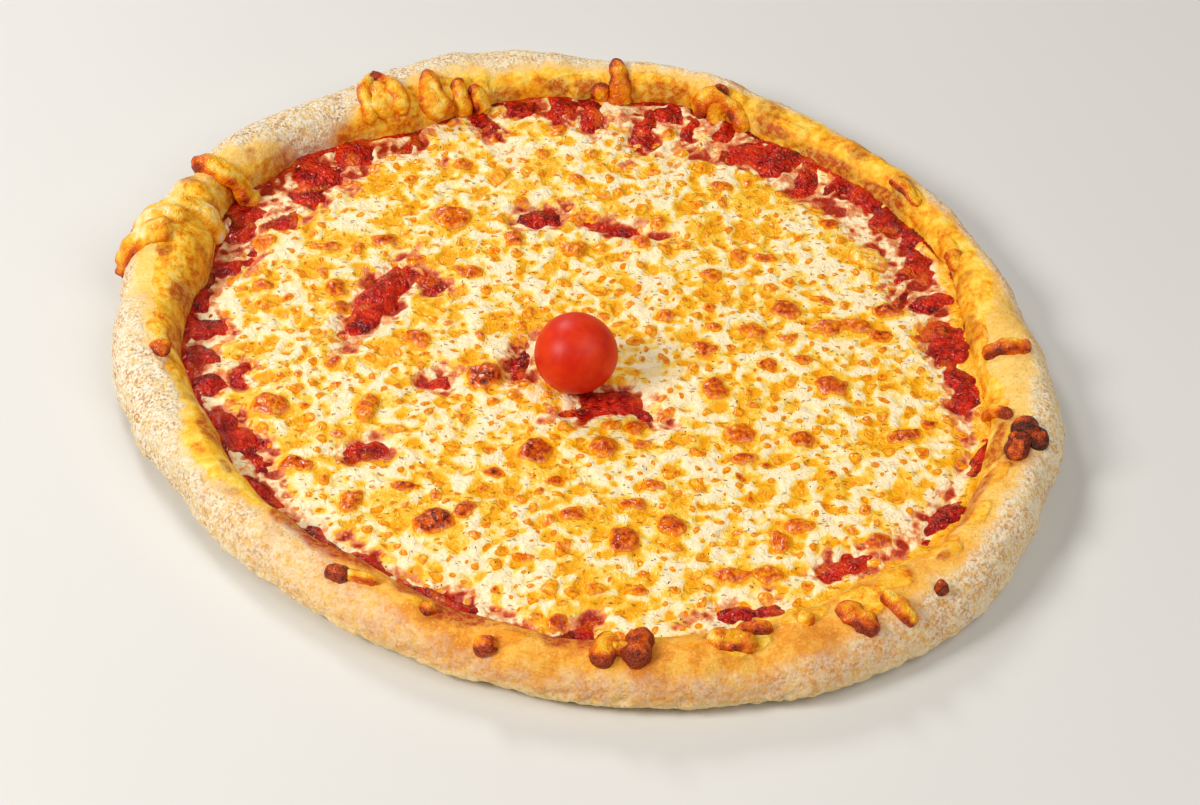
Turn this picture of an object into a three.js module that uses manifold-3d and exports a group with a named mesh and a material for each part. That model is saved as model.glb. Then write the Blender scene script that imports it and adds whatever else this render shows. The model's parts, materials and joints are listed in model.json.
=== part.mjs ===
// A whole margherita pizza: an oval dough base with an uneven raised rim, tomato sauce over the base, melted cheese
// with browned bubbles over the sauce, a whole cherry tomato, and cheese that has baked on to the rim.
// Millimetres, +Z up. The dough rests on z = 0 and the origin is the middle of its underside.
// Angles are in degrees, anticlockwise from +X seen from above.
import * as THREE from "three";
import { ImprovedNoise } from "three/addons/math/ImprovedNoise.js";
import { mergeVertices } from "three/addons/utils/BufferGeometryUtils.js";
import Module from "manifold-3d";

const wasm = await Module();
wasm.setup();

// Driving dimensions: radii every 15 degrees, and the height of the rim every 30 degrees
const OUTER_RADIUS = [
  141, 137, 136, 135, 138.8, 139.8, 144.7, 150.4, 150.8, 149.9, 150.3, 149.4,
  146, 142, 136.8, 135, 135, 138.4, 142.8, 148.5, 152.9, 154.4, 152, 147.3,
];
const INNER_RADIUS = [
  119, 120, 122, 121, 122, 127, 128, 127, 123, 130, 133, 124,
  125, 120, 118, 118, 115, 120, 124, 126, 125, 129, 130, 126,
];
const CHEESE_RADIUS = [
  107, 105, 101, 101, 106, 114, 119, 119, 120, 109, 116, 116,
  114, 116, 107, 112, 111, 113, 119, 122, 120, 119, 118, 117,
];
const RIM_HEIGHT = [16, 15, 16, 17, 18.5, 19.5, 18.5, 17, 16, 16, 17, 17.5];

const BASE_THICKNESS = 4.5;
const SAUCE_THICKNESS = 1.4;
const CHEESE_THICKNESS = 2.2;
const GAP = 0.3; // between neighbouring layers, which touch on the real pizza
const DOME_ROOT = 0.4; // how deep a bubble or a heap is rooted in its layer
const TOMATO = { x: -3.6, y: -14, radius: 12.7, sunk: 0.8 };

const SEGMENTS = 100; // columns of the dough and sauce round the pizza
const CHEESE_SEGMENTS = 50; // columns of the cheese
const TURN = 360;

// Levels that follow from the layers
const SAUCE_BOTTOM = BASE_THICKNESS + GAP;
const SAUCE_TOP = SAUCE_BOTTOM + SAUCE_THICKNESS;
const CHEESE_TOP = SAUCE_TOP + GAP + CHEESE_THICKNESS;
const RING_RISE = 1.5; // of the sauce heaped along the rim
const CUTTER_TOP = 40; // above everything that a prism has to cut

// Swellings of the rim: angle, added height, added outward bulge, and half width in degrees
const RIM_BULGES = [
  { angle: 165, height: 2.2, outward: 1.2, spread: 8 },
  { angle: 186, height: 1.2, outward: 0.8, spread: 6 },
  { angle: 120, height: 0.8, outward: 0.6, spread: 4 },
  { angle: 72, height: 1.4, outward: 0.3, spread: 5 },
  { angle: 350, height: 1.0, outward: 0.8, spread: 7 },
  { angle: 152, height: -1.6, outward: -0.8, spread: 2.5 },
  { angle: 176, height: -1.4, outward: -0.6, spread: 2.5 },
  { angle: 338, height: -1.0, outward: -0.5, spread: 4 },
];

// Bare patches of sauce inside the cheese: middle, half length, half width, and the way the length runs
const SAUCE_PATCHES = [
  { x: -67, y: 20, length: 17, width: 5.6, turn: 68, rise: 2.6 },
  { x: -52, y: 31, length: 5.5, width: 3, turn: -35, rise: 0.9 },
  { x: -17.5, y: 64, length: 6.4, width: 4.2, turn: 10, rise: 1.2 },
  { x: 6, y: 60.5, length: 7, width: 1.6, turn: -12, rise: 0.5 },
  { x: 6, y: -24, length: 13.5, width: 6.4, turn: 4, rise: 1.0 },
  { x: -20.5, y: -6, length: 6.5, width: 2.6, turn: 78, rise: 0.7 },
  { x: -45, y: -16, length: 4.2, width: 2.4, turn: 30, rise: 0.6 },
  { x: -65, y: -47.5, length: 6, width: 3.2, turn: 25, rise: 0.9 },
  { x: -33, y: -74, length: 4.4, width: 2.8, turn: 35, rise: 0.8 },
  { x: 98, y: 31, length: 3.6, width: 2.2, turn: 60, rise: 0.6 },
  { x: -62, y: 97, length: 3.4, width: 2, turn: 60, rise: 0.7 },
];

// The larger browned bubbles of the cheese: middle, half length, half width and turn
const LARGE_BUBBLES = [
  { x: -46, y: 61, length: 7, width: 5.6, turn: 10 },
  { x: -39, y: 35, length: 5.2, width: 3.6, turn: 0 },
  { x: -82, y: 23, length: 5, width: 4.4, turn: -30 },
  { x: -53, y: 2, length: 5, width: 3.6, turn: -30 },
  { x: -32, y: -14, length: 6, width: 5.4, turn: 40 },
  { x: -15, y: -46, length: 6.4, width: 5.6, turn: 70 },
  { x: -43, y: -79, length: 7.6, width: 5, turn: 20 },
  { x: -67, y: -70, length: 6, width: 4.6, turn: 95 },
  { x: -94, y: -31, length: 6.6, width: 5.2, turn: 5 },
  { x: -64, y: -31, length: 7.2, width: 4, turn: 65 },
  { x: -84, y: -55, length: 6.4, width: 3.4, turn: -5 },
  { x: -52, y: -64, length: 5.4, width: 2.6, turn: -10 },
  { x: -6, y: -86, length: 6, width: 4.4, turn: 80 },
  { x: 12, y: -82, length: 7, width: 5.6, turn: 85 },
  { x: 26, y: -76, length: 5.8, width: 4.6, turn: -50 },
  { x: 46, y: -94, length: 10.5, width: 4.2, turn: -4 },
  { x: 57, y: -81, length: 6.6, width: 3.8, turn: -70 },
  { x: 64, y: -73, length: 6, width: 3.2, turn: -10 },
  { x: 84, y: -79, length: 4.6, width: 3.6, turn: 10 },
  { x: 16, y: -34, length: 5.4, width: 4.6, turn: 60 },
  { x: 5, y: -45, length: 5.6, width: 4.4, turn: 80 },
  { x: 40, y: -16, length: 6, width: 5.2, turn: -60 },
  { x: 46, y: -36, length: 6.6, width: 4.4, turn: -75 },
  { x: 46, y: -46, length: 5.6, width: 4.2, turn: 15 },
  { x: 72, y: -12, length: 7.6, width: 4.6, turn: 20 },
  { x: 97, y: -33, length: 6.2, width: 3.8, turn: 25 },
  { x: 104, y: -27, length: 4.4, width: 3.6, turn: 0 },
  { x: 73, y: 14, length: 6.8, width: 4.4, turn: 15 },
  { x: 87, y: 12, length: 5.6, width: 3.8, turn: -15 },
  { x: 60, y: 21, length: 6, width: 4.2, turn: -15 },
  { x: 93, y: 23, length: 6.2, width: 4, turn: 15 },
  { x: 53, y: 46, length: 6, width: 3.4, turn: -15 },
  { x: 50, y: 77, length: 6, width: 4.8, turn: 0 },
  { x: -102, y: 42, length: 5, width: 4.2, turn: 30 },
  { x: -83, y: 43, length: 5.6, width: 3.6, turn: -10 },
];
const SMALL_BUBBLES = 22;

// Cheese baked on to the rim: each piece is one or more strands, given as angle and radius from its outer end to
// its inner end, with its width and how high it stands
const RIM_CHEESE = {
  left_tip: [{ path: [[169.4, 150.4], [167.8, 144.6], [167, 135]], width: 5, height: 3.4 }],
  left_flap: [
    { path: [[164.6, 149.8], [162.6, 146], [161.2, 141], [160.2, 134], [158.4, 128]], width: 3.8, height: 2.8 },
    { path: [[165.2, 145.5], [163.3, 141.5], [161.7, 134]], width: 4, height: 2.8 },
  ],
  upper_left_strand: [{ path: [[150.8, 148.4], [149.9, 138], [147.4, 129.5]], width: 6.4, height: 4 }],
  loop: [
    { path: [[126.2, 126.5], [124.8, 136], [121.9, 144]], width: 5.4, height: 4 },
    { path: [[122.3, 144], [120.6, 136.5], [121.2, 124]], width: 5.4, height: 4 },
  ],
  pointed_strand: [{ path: [[115, 137], [116.4, 123.6]], width: 6, height: 4 }],
  slim_strand: [{ path: [[111.4, 132], [111, 124.4]], width: 4.4, height: 3.2 }],
  slanted_strand: [{ path: [[109.2, 129.2], [106, 124.4]], width: 4.6, height: 3.2 }],
  top_knob: [{ path: [[87.8, 137.6], [86.9, 131], [85.6, 125.5]], width: 6, height: 4 }],
  burnt_fold: [{ path: [[75.4, 127], [72.3, 128.6], [69.6, 127], [66.2, 123.2]], width: 7, height: 4.4 }],
  right_upper_patch: [{ path: [[40.4, 126.2], [33.6, 125.8]], width: 5, height: 2.2 }],
  right_upper_knob: [{ path: [[23, 124], [19.6, 122.4]], width: 6, height: 3.4 }],
  right_strip: [{ path: [[359.8, 119.8], [359.3, 128], [359.1, 137.4]], width: 5, height: 3.4 }],
  right_ridge: [{ path: [[351, 120.5], [348.5, 125], [345.4, 131.5]], width: 4, height: 3 }],
  burnt_crumb: [
    { path: [[344.4, 133], [342.4, 141.4]], width: 8.4, height: 4.8 },
    { path: [[343.6, 138.5], [341.4, 143.4]], width: 5.6, height: 4 },
    { path: [[342.8, 136.5], [338.2, 136.5]], width: 6.8, height: 4 },
  ],
  small_ball: [{ path: [[315.3, 147], [313.6, 146.8]], width: 4.2, height: 3.6 }],
  lower_right_pair: [{ path: [[308.2, 139], [309.1, 151]], width: 5.8, height: 3.6 }],
  lower_right_strip: [{ path: [[303, 135], [304.4, 149]], width: 7.4, height: 3.8 }],
  lower_bead: [{ path: [[299.5, 135], [297.2, 135.6]], width: 5.4, height: 3.2 }],
  lower_cluster: [
    { path: [[285.8, 133.6], [291.6, 138.4]], width: 7.6, height: 3.8 },
    { path: [[289.6, 132.2], [294.2, 134.4]], width: 4.4, height: 3.2 },
  ],
  front_cluster: [
    { path: [[274.2, 128.6], [272.9, 139.6]], width: 8, height: 4.4 },
    { path: [[278.2, 128.4], [276.8, 140.6]], width: 8, height: 5 },
    { path: [[273.4, 134], [277.4, 134]], width: 5, height: 3.4 },
  ],
  front_knob: [{ path: [[260.9, 135.2], [257.9, 134.8]], width: 6.8, height: 4.2 }],
  front_left_bead: [{ path: [[252, 127.2], [249.8, 127.2]], width: 4.6, height: 3 }],
  lower_left_knob: [
    { path: [[236.2, 128.8], [239.6, 127]], width: 5.6, height: 4 },
    { path: [[238.6, 127], [243.4, 124.6]], width: 3.2, height: 2.4 },
  ],
  left_blister: [{ path: [[189.5, 130.1], [186.7, 130.3]], width: 6, height: 2.8 }],
};

const noise = new ImprovedNoise();
const radians = THREE.MathUtils.degToRad;

// A closed smooth curve through values that are evenly spread round the pizza, as a function of the angle.
function around(values) {
  const at = (i) => values[THREE.MathUtils.euclideanModulo(i, values.length)];
  return (angle) => {
    const place = (angle / TURN) * values.length;
    const i = Math.floor(place);
    const t = place - i;
    const [before, start, end, after] = [at(i - 1), at(i), at(i + 1), at(i + 2)];
    const slopeIn = (end - before) / 2;
    const slopeOut = (after - start) / 2;
    return (
      start + slopeIn * t +
      (3 * (end - start) - 2 * slopeIn - slopeOut) * t * t +
      (2 * (start - end) + slopeIn + slopeOut) * t * t * t
    );
  };
}

// Small waves along the rim: a few whole numbers of waves round the pizza, each weaker than the last.
function ripple(angle, waves) {
  return waves.reduce(
    (sum, count, i) => sum + Math.sin(radians(angle) * count + count * 1.7) / (i + 1), 0);
}

// The pull of every bulge at an angle, for its height or its outward part.
function bulge(angle, part) {
  return RIM_BULGES.reduce((sum, b) => {
    const away = THREE.MathUtils.euclideanModulo(angle - b.angle + TURN / 2, TURN) - TURN / 2;
    return sum + b[part] * Math.exp(-((away / b.spread) ** 2));
  }, 0);
}

const outerTable = around(OUTER_RADIUS);
const innerTable = around(INNER_RADIUS);
const cheeseTable = around(CHEESE_RADIUS);
const heightTable = around(RIM_HEIGHT);

const outerRadius = (angle) =>
  outerTable(angle) + bulge(angle, "outward") + 0.45 * ripple(angle, [9, 14, 23, 37]);
const innerRadius = (angle) => innerTable(angle) + 0.7 * ripple(angle, [13, 19, 31]);
const rimHeight = (angle) =>
  heightTable(angle) + bulge(angle, "height") + 0.5 * ripple(angle, [11, 17, 26]);
const cheeseRadius = (angle) =>
  Math.min(cheeseTable(angle) + 1.6 * ripple(angle, [11, 16, 23]), innerRadius(angle) - 3);

// The rim's section, as turns in degrees round its middle: 0 points outwards, 90 is the crest, 180 meets the base.
const RIM_TURNS = [-78, -50, -24, 0, 24, 45, 64, 82, 100, 118, 136, 154, 168, 180];
const RIM_BELLY = 6; // height of the widest part of the rim

function rimPoint(angle, turn) {
  const outer = outerRadius(angle);
  const inner = innerRadius(angle);
  const middle = (outer + inner) / 2;
  const half = (outer - inner) / 2;
  const c = Math.cos(radians(turn));
  const s = Math.sin(radians(turn));
  const top = rimHeight(angle) - RIM_BELLY;
  const floor = RIM_BELLY - (c < 0 ? BASE_THICKNESS : 0);
  const radius = middle + half * Math.sign(c) * Math.abs(c) ** 0.9;
  const height = RIM_BELLY + (s > 0 ? top * s ** 0.85 : floor * Math.max(s, -1));
  const rough = noise.noise(radius * 0.09 * Math.cos(radians(angle)) + 5,
    radius * 0.09 * Math.sin(radians(angle)) + 9, turn * 0.02);
  return turn > -30 && turn < 175
    ? [radius + 0.7 * rough * c, height + 1.1 * rough * Math.max(s, 0)]
    : [radius, height];
}

// The dough's section at an angle, from the middle of its underside round the rim to the middle of its top.
function doughSection(angle) {
  const inner = innerRadius(angle);
  const foot = outerRadius(angle) - 6;
  return [
    [0, 0],
    [foot, 0],
    ...RIM_TURNS.map((turn) => rimPoint(angle, turn)).slice(1),
    [inner - 3.5, BASE_THICKNESS + 0.3],
    [inner - 9, BASE_THICKNESS],
    [0, BASE_THICKNESS],
  ];
}

// A closed body round +Z whose section changes with the angle. The lathe gives the mesh, and each of its points then
// moves to the section of its own column.
function sectionBody(section, segments) {
  const rows = section(0).length;
  const flat = section(0).map(([radius, height]) => new THREE.Vector2(radius, height));
  const geometry = new THREE.LatheGeometry(flat, segments);
  const position = geometry.attributes.position;
  for (let column = 0; column <= segments; column += 1) {
    const angle = ((column % segments) * TURN) / segments;
    section(angle).forEach(([radius, height], row) =>
      position.setXYZ(column * rows + row,
        radius * Math.cos(radians(angle)), radius * Math.sin(radians(angle)), height));
  }
  return geometry;
}

// A three.js geometry as a manifold solid, and back.
function solid(geometry) {
  const bare = geometry.clone();
  bare.deleteAttribute("normal");
  bare.deleteAttribute("uv");
  const merged = mergeVertices(bare, 1e-4);
  return new wasm.Manifold(new wasm.Mesh({
    numProp: 3,
    vertProperties: merged.attributes.position.array,
    triVerts: new Uint32Array(merged.index.array),
  }));
}

function geometryOf(body) {
  const { vertProperties, triVerts } = body.getMesh();
  const geometry = new THREE.BufferGeometry();
  geometry.setAttribute("position", new THREE.BufferAttribute(vertProperties, 3));
  geometry.setIndex(new THREE.BufferAttribute(triVerts, 1));
  geometry.computeVertexNormals();
  return geometry;
}

const joined = (bodies) => bodies.reduce((sum, body) => sum.add(body));

// The main piece of a body, without the loose scraps that a cut can leave.
const mainPiece = (body) => body.decompose().reduce((best, piece) => (piece.volume() > best.volume() ? piece : best));

// A low dome with a flat underside, uneven by a little noise. It is sunk a little into the layer that it stands on.
function dome({ x, y, z, length, width, height, turn, sides = 7, rows = 4 }, grow = 0) {
  const geometry = new THREE.SphereGeometry(1, sides, rows);
  geometry.rotateX(Math.PI / 2);
  const position = geometry.attributes.position;
  const point = new THREE.Vector3();
  for (let i = 0; i < position.count; i += 1) {
    point.fromBufferAttribute(position, i);
    point.multiplyScalar(1 + 0.22 * noise.noise(point.x * 1.3 + x, point.y * 1.3 + y, point.z + z));
    const level = point.z > 0.02 ? point.z * (height + grow) : (point.z - 0.2) * DOME_ROOT;
    position.setXYZ(i, point.x * (length + grow), point.y * (width + grow), level);
  }
  geometry.rotateZ(radians(turn));
  geometry.translate(x, y, z);
  return solid(geometry);
}

// The top of the cheese rises and falls gently.
const cheeseTop = (x, y) =>
  CHEESE_TOP + 0.55 * noise.noise(x * 0.035 + 20, y * 0.035 + 3, 1.5) + 0.35 * noise.noise(x * 0.08, y * 0.08, 7.5);

// A round layer from a flat bottom to a level that may change from place to place, thinner at its edge.
function layer(radiusAt, bottom, topAt, rings) {
  return solid(sectionBody((angle) => {
    const radius = radiusAt(angle);
    const ring = (share) => {
      const r = radius * share;
      const top = topAt(r * Math.cos(radians(angle)), r * Math.sin(radians(angle)));
      return [r, share < 1 ? top : (top + bottom) / 2];
    };
    return [[0, bottom], [radius, bottom], ring(1), ring(0.975),
      ...Array.from({ length: rings }, (_, i) => ring((0.93 * (rings - 1 - i)) / (rings - 1)))];
  }, CHEESE_SEGMENTS));
}


// The sauce's section at an angle: over the dough, up its flank, and back over the heaped ring that the cheese
// leaves bare.
function sauceSection(angle) {
  const inner = innerRadius(angle);
  const cheese = cheeseRadius(angle);
  const edge = inner - 0.4;
  const foot = cheese + 1;
  const heap = (share) => {
    const radius = foot + (edge - foot) * share;
    const x = radius * Math.cos(radians(angle));
    const y = radius * Math.sin(radians(angle));
    const lumpy = 1 + 0.75 * noise.noise(x * 0.16 + 31, y * 0.16 + 8, 4.5);
    return [radius, SAUCE_TOP + RING_RISE * lumpy * Math.sin(share * Math.PI)];
  };
  return [
    [0, SAUCE_BOTTOM],
    [inner - 9, SAUCE_BOTTOM],
    [inner - 3.5, SAUCE_BOTTOM + 0.35],
    [edge, SAUCE_TOP - 0.05],
    heap(0.72), heap(0.45), heap(0.2),
    [foot, SAUCE_TOP],
    [0, SAUCE_TOP],
  ];
}

// Heaped sauce in the bare patches: a row of domes along each patch.
function patchHeaps() {
  return SAUCE_PATCHES.flatMap(({ x, y, length, width, turn, rise }) => {
    const count = Math.max(1, Math.round(length / 5));
    return Array.from({ length: count }, (_, i) => {
      const along = count > 1 ? (i / (count - 1) - 0.5) * length * 1.1 : 0;
      return {
        x: x + along * Math.cos(radians(turn)), y: y + along * Math.sin(radians(turn)), z: SAUCE_TOP,
        length: Math.max(3, length * 0.5), width: width * 0.75, height: 0.5 + rise, turn,
      };
    });
  });
}

const sauceBody = () =>
  joined([solid(sectionBody(sauceSection, SEGMENTS)), ...patchHeaps().map((spec) => dome(spec))]);

// The upright prism over a bare patch, uneven along its edge and taller than everything that it cuts.
function patchPrism({ x, y, length, width, turn }) {
  const steps = 10;
  const outline = Array.from({ length: steps }, (_, i) => {
    const a = (i / steps) * Math.PI * 2;
    const swell = 1 + 0.28 * noise.noise(Math.cos(a) * 1.6 + x, Math.sin(a) * 1.6 + y, 2.5);
    return new THREE.Vector2(Math.cos(a) * length * swell, Math.sin(a) * width * swell)
      .rotateAround(new THREE.Vector2(), radians(turn)).add(new THREE.Vector2(x, y));
  });
  return solid(new THREE.ExtrudeGeometry(new THREE.Shape(outline), { depth: CUTTER_TOP, bevelEnabled: false }));
}

// Smaller bubbles are scattered evenly with a seeded draw, clear of the bare patches and the larger bubbles.
function smallBubbles() {
  const draw = (step, use) => THREE.MathUtils.seededRandom(step * 7 + use * 1009 + 41);
  const taken = [...SAUCE_PATCHES, ...LARGE_BUBBLES, { ...TOMATO, length: TOMATO.radius }];
  const found = [];
  for (let step = 0; found.length < SMALL_BUBBLES && step < 4000; step += 1) {
    const angle = draw(step, 1) * TURN;
    const radius = Math.sqrt(draw(step, 2)) * (cheeseRadius(angle) - 6);
    const x = radius * Math.cos(radians(angle));
    const y = radius * Math.sin(radians(angle));
    const length = 2.6 + 1.6 * draw(step, 3) ** 2;
    const clear = [...taken, ...found].every((t) => Math.hypot(t.x - x, t.y - y) > t.length + length + 2.5);
    const width = length * (0.7 + 0.25 * draw(step, 4));
    if (clear) found.push({ x, y, length, width, turn: draw(step, 5) * 180, sides: 6, rows: 3 });
  }
  return found;
}

function cheeseBody() {
  const slab = layer((angle) => cheeseRadius(angle) - 0.2, SAUCE_TOP + GAP, cheeseTop, 6);
  const bubbles = [...LARGE_BUBBLES, ...smallBubbles()].map((b) =>
    dome({ ...b, z: cheeseTop(b.x, b.y) - 0.35, height: 0.9 + b.width * 0.18 }));
  return joined([slab, ...bubbles])
    .subtract(joined(SAUCE_PATCHES.map(patchPrism)))
    .subtract(joined(patchHeaps().map((spec) => dome(spec, GAP))));
}

// A strand laid over the rim: a capsule whose length follows a path of angle and radius on the dough.
function strand({ path, width, height }) {
  const seats = path.map(([angle, radius]) => {
    const outer = outerRadius(angle);
    const inner = innerRadius(angle);
    const share = THREE.MathUtils.clamp((2 * radius - outer - inner) / (outer - inner), -0.98, 0.98);
    const [, crust] = rimPoint(angle, THREE.MathUtils.radToDeg(Math.acos(share)));
    return new THREE.Vector3(radius * Math.cos(radians(angle)), radius * Math.sin(radians(angle)), crust + height * 0.1);
  });
  const line = new THREE.CatmullRomCurve3(seats);
  const reach = Math.max(line.getLength() - width * 0.5, 0.5);
  const capsule = new THREE.CapsuleGeometry(0.5, reach / width, 2, 7, seats.length > 2 ? 4 : 1);
  const position = capsule.attributes.position;
  const whole = 1 + reach / width;
  const point = new THREE.Vector3();
  for (let i = 0; i < position.count; i += 1) {
    point.fromBufferAttribute(position, i);
    const share = point.y / whole + 0.5;
    const place = line.getPointAt(THREE.MathUtils.clamp(share, 0, 1));
    const along = line.getTangentAt(THREE.MathUtils.clamp(share, 0, 1));
    const side = new THREE.Vector3(-along.y, along.x, 0).normalize();
    const up = new THREE.Vector3().crossVectors(along, side);
    const swell = 1 + 0.25 * noise.noise(place.x * 0.3, place.y * 0.3, point.x * 2 + point.z * 2);
    place.addScaledVector(side, point.x * width * swell).addScaledVector(up, point.z * height * 2 * swell);
    position.setXYZ(i, place.x, place.y, place.z);
  }
  const made = solid(capsule);
  return made.volume() < 0 ? solid(flipped(capsule)) : made;
}

function flipped(geometry) {
  const index = geometry.index.array;
  for (let i = 0; i < index.length; i += 3) [index[i + 1], index[i + 2]] = [index[i + 2], index[i + 1]];
  return geometry;
}

function tomatoBody() {
  const geometry = new THREE.SphereGeometry(TOMATO.radius, 18, 11);
  geometry.scale(1, 1, 0.97);
  geometry.rotateX(Math.PI / 2);
  return geometry;
}

const materials = {
  dough: new THREE.MeshStandardMaterial({ color: 0xe3bd85, roughness: 0.85 }),
  sauce: new THREE.MeshStandardMaterial({ color: 0xa3201a, roughness: 0.35 }),
  cheese: new THREE.MeshStandardMaterial({ color: 0xf3d88f, roughness: 0.4 }),
  baked: new THREE.MeshStandardMaterial({ color: 0xb4651e, roughness: 0.45 }),
  tomato: new THREE.MeshStandardMaterial({ color: 0xc8280c, roughness: 0.18 }),
};

function named(name, geometry, material) {
  const mesh = new THREE.Mesh(geometry, material);
  mesh.name = name;
  return mesh;
}

const cutPiece = (name, body, material) => named(name, geometryOf(mainPiece(body)), material);

const dough = solid(sectionBody(doughSection, SEGMENTS));
const sauce = sauceBody();

// What lies under the cheese on the rim, with a gap above it, which more than clears the steep flank of the rim
const bed = joined([dough, dough.translate([0, 0, GAP * 1.5]), sauce, sauce.translate([0, 0, GAP])]);
const tomatoLift = SAUCE_TOP + TOMATO.radius * 0.97 + 1.6 - TOMATO.sunk;
const tomatoHollow = solid(new THREE.SphereGeometry(TOMATO.radius + GAP, 20, 12)
  .rotateX(Math.PI / 2).translate(TOMATO.x, TOMATO.y, tomatoLift));

const pizza = new THREE.Group();
pizza.add(cutPiece("crust", dough, materials.dough));
pizza.add(cutPiece("sauce", sauce.subtract(tomatoHollow), materials.sauce));
pizza.add(cutPiece("cheese", cheeseBody().subtract(tomatoHollow), materials.cheese));

const tomato = named("cherry_tomato", tomatoBody(), materials.tomato);
tomato.position.set(TOMATO.x, TOMATO.y, tomatoLift);
pizza.add(tomato);

for (const [name, strands] of Object.entries(RIM_CHEESE)) {
  pizza.add(cutPiece(`baked_cheese_${name}`, joined(strands.map(strand)).subtract(bed), materials.baked));
}

export default pizza;
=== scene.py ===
"""A whole margherita pizza, baked and ready to cut: dough with an uneven floury rim, tomato sauce, melted
cheese with browned bubbles, cheese baked on to the rim, a cherry tomato in the middle and dried herbs.

Lengths in the lists and functions are millimetres and become metres when a mesh is made. Angles are degrees,
anticlockwise from +X seen from above."""
import itertools
import json
import math
import random

import bmesh
import bpy
import numpy as np
from mathutils import Matrix, Vector
from mathutils.bvhtree import BVHTree

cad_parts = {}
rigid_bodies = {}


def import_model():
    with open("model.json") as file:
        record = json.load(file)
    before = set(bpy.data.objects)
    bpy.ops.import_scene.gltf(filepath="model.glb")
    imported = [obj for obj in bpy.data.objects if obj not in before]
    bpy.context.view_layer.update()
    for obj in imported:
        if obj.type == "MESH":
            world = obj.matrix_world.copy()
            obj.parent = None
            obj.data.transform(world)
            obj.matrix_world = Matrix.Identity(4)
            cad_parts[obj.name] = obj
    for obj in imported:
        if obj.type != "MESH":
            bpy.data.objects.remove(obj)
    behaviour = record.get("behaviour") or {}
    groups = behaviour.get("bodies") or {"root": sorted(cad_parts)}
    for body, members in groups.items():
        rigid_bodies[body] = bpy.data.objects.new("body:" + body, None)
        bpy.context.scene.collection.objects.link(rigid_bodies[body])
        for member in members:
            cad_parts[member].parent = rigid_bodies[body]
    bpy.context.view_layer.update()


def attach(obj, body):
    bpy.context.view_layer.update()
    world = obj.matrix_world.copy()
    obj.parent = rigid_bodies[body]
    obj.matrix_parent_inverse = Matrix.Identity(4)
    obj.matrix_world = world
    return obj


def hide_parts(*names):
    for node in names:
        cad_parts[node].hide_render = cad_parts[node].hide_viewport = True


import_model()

MM = 0.001
TURN = 360

# The dough's driving sizes: radii every 15 degrees and the rim's height every 30 degrees
OUTER_RADIUS = [
    141, 137, 136, 135, 138.8, 139.8, 144.7, 150.4, 150.8, 149.9, 150.3, 149.4,
    146, 142, 136.8, 135, 135, 138.4, 142.8, 148.5, 152.9, 154.4, 152, 147.3,
]
INNER_RADIUS = [
    119, 120, 122, 121, 122, 127, 128, 127, 123, 130, 133, 124,
    125, 120, 118, 118, 115, 120, 124, 126, 125, 129, 130, 126,
]
CHEESE_RADIUS = [
    107, 105, 101, 101, 106, 114, 119, 119, 120, 109, 116, 116,
    114, 116, 107, 112, 111, 113, 119, 122, 120, 119, 118, 117,
]
RIM_HEIGHT = [16, 15, 16, 17, 18.5, 19.5, 18.5, 17, 16, 16, 17, 17.5]
# How far out the rim was basted with oil, and where the flour begins
BASTED_RADIUS = [
    121, 129, 131, 131, 131, 130, 132, 133, 133, 127, 137, 137,
    134, 128, 130, 122, 119, 123, 126, 129, 130, 131, 131, 131,
]
FLOUR_RADIUS = [
    136, 132, 132, 132, 133, 134, 135, 136, 137, 129, 147, 146,
    139, 127, 131, 124, 127, 136, 141, 145, 147, 145, 142, 139,
]
# How strongly the top of the rim is toasted tan
TOAST = [0.15, 0.4, 0.5, 0.4, 0.25, 0.2, 0.2, 0.15, 0.15, 0.15, 0.15, 0.2,
         0.15, 0.1, 0.2, 0.4, 0.65, 0.75, 0.75, 0.75, 0.65, 0.5, 0.35, 0.2]
# How white with flour the outer side is
SIDE_FLOUR = [0.75, 0.75, 0.75, 0.8, 0.85, 0.9, 0.9, 0.9, 1, 1, 1, 1,
              1, 1, 0.9, 0.65, 0.4, 0.35, 0.38, 0.45, 0.55, 0.75, 0.8, 0.8]
# How far the cheese reaches the rim as a golden edge, where no sauce shows along it
RIM_GOLD = [1, 0.9, 0.7, 0.6, 0.3, 0.2, 0.3, 0.6, 0.3, 0.2, 0.1, 0.1,
            0.2, 0.3, 0.3, 0.2, 0.1, 0.1, 0.3, 0.6, 0.9, 1, 1, 1]

# Swellings and pinches of the rim: angle, added height, added outward bulge, half width in degrees
RIM_BULGES = [
    (165, 2.2, 1.2, 8), (186, 1.2, 0.8, 6), (120, 0.8, 0.6, 4), (72, 1.4, 0.3, 5), (350, 1.0, 0.8, 7),
    (152, -1.6, -0.8, 2.5), (176, -1.4, -0.6, 2.5), (338, -1.0, -0.5, 4),
]

BASE_THICKNESS = 4.5
SAUCE_THICKNESS = 1.4
CHEESE_THICKNESS = 2.2
GAP = 0.3
SAUCE_BOTTOM = BASE_THICKNESS + GAP
SAUCE_TOP = SAUCE_BOTTOM + SAUCE_THICKNESS
RIM_BELLY = 6
# How full the rim is at its sides and at its crest, where 1 is an ellipse
SIDE_FULLNESS, CREST_FULLNESS = 0.9, 0.85
TOMATO_X, TOMATO_Y, TOMATO_RADIUS = -3.6, -14, 12.7
TOMATO_SQUAT = 0.97
TOMATO_LIFT = SAUCE_TOP + TOMATO_RADIUS * TOMATO_SQUAT + 0.8

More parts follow.
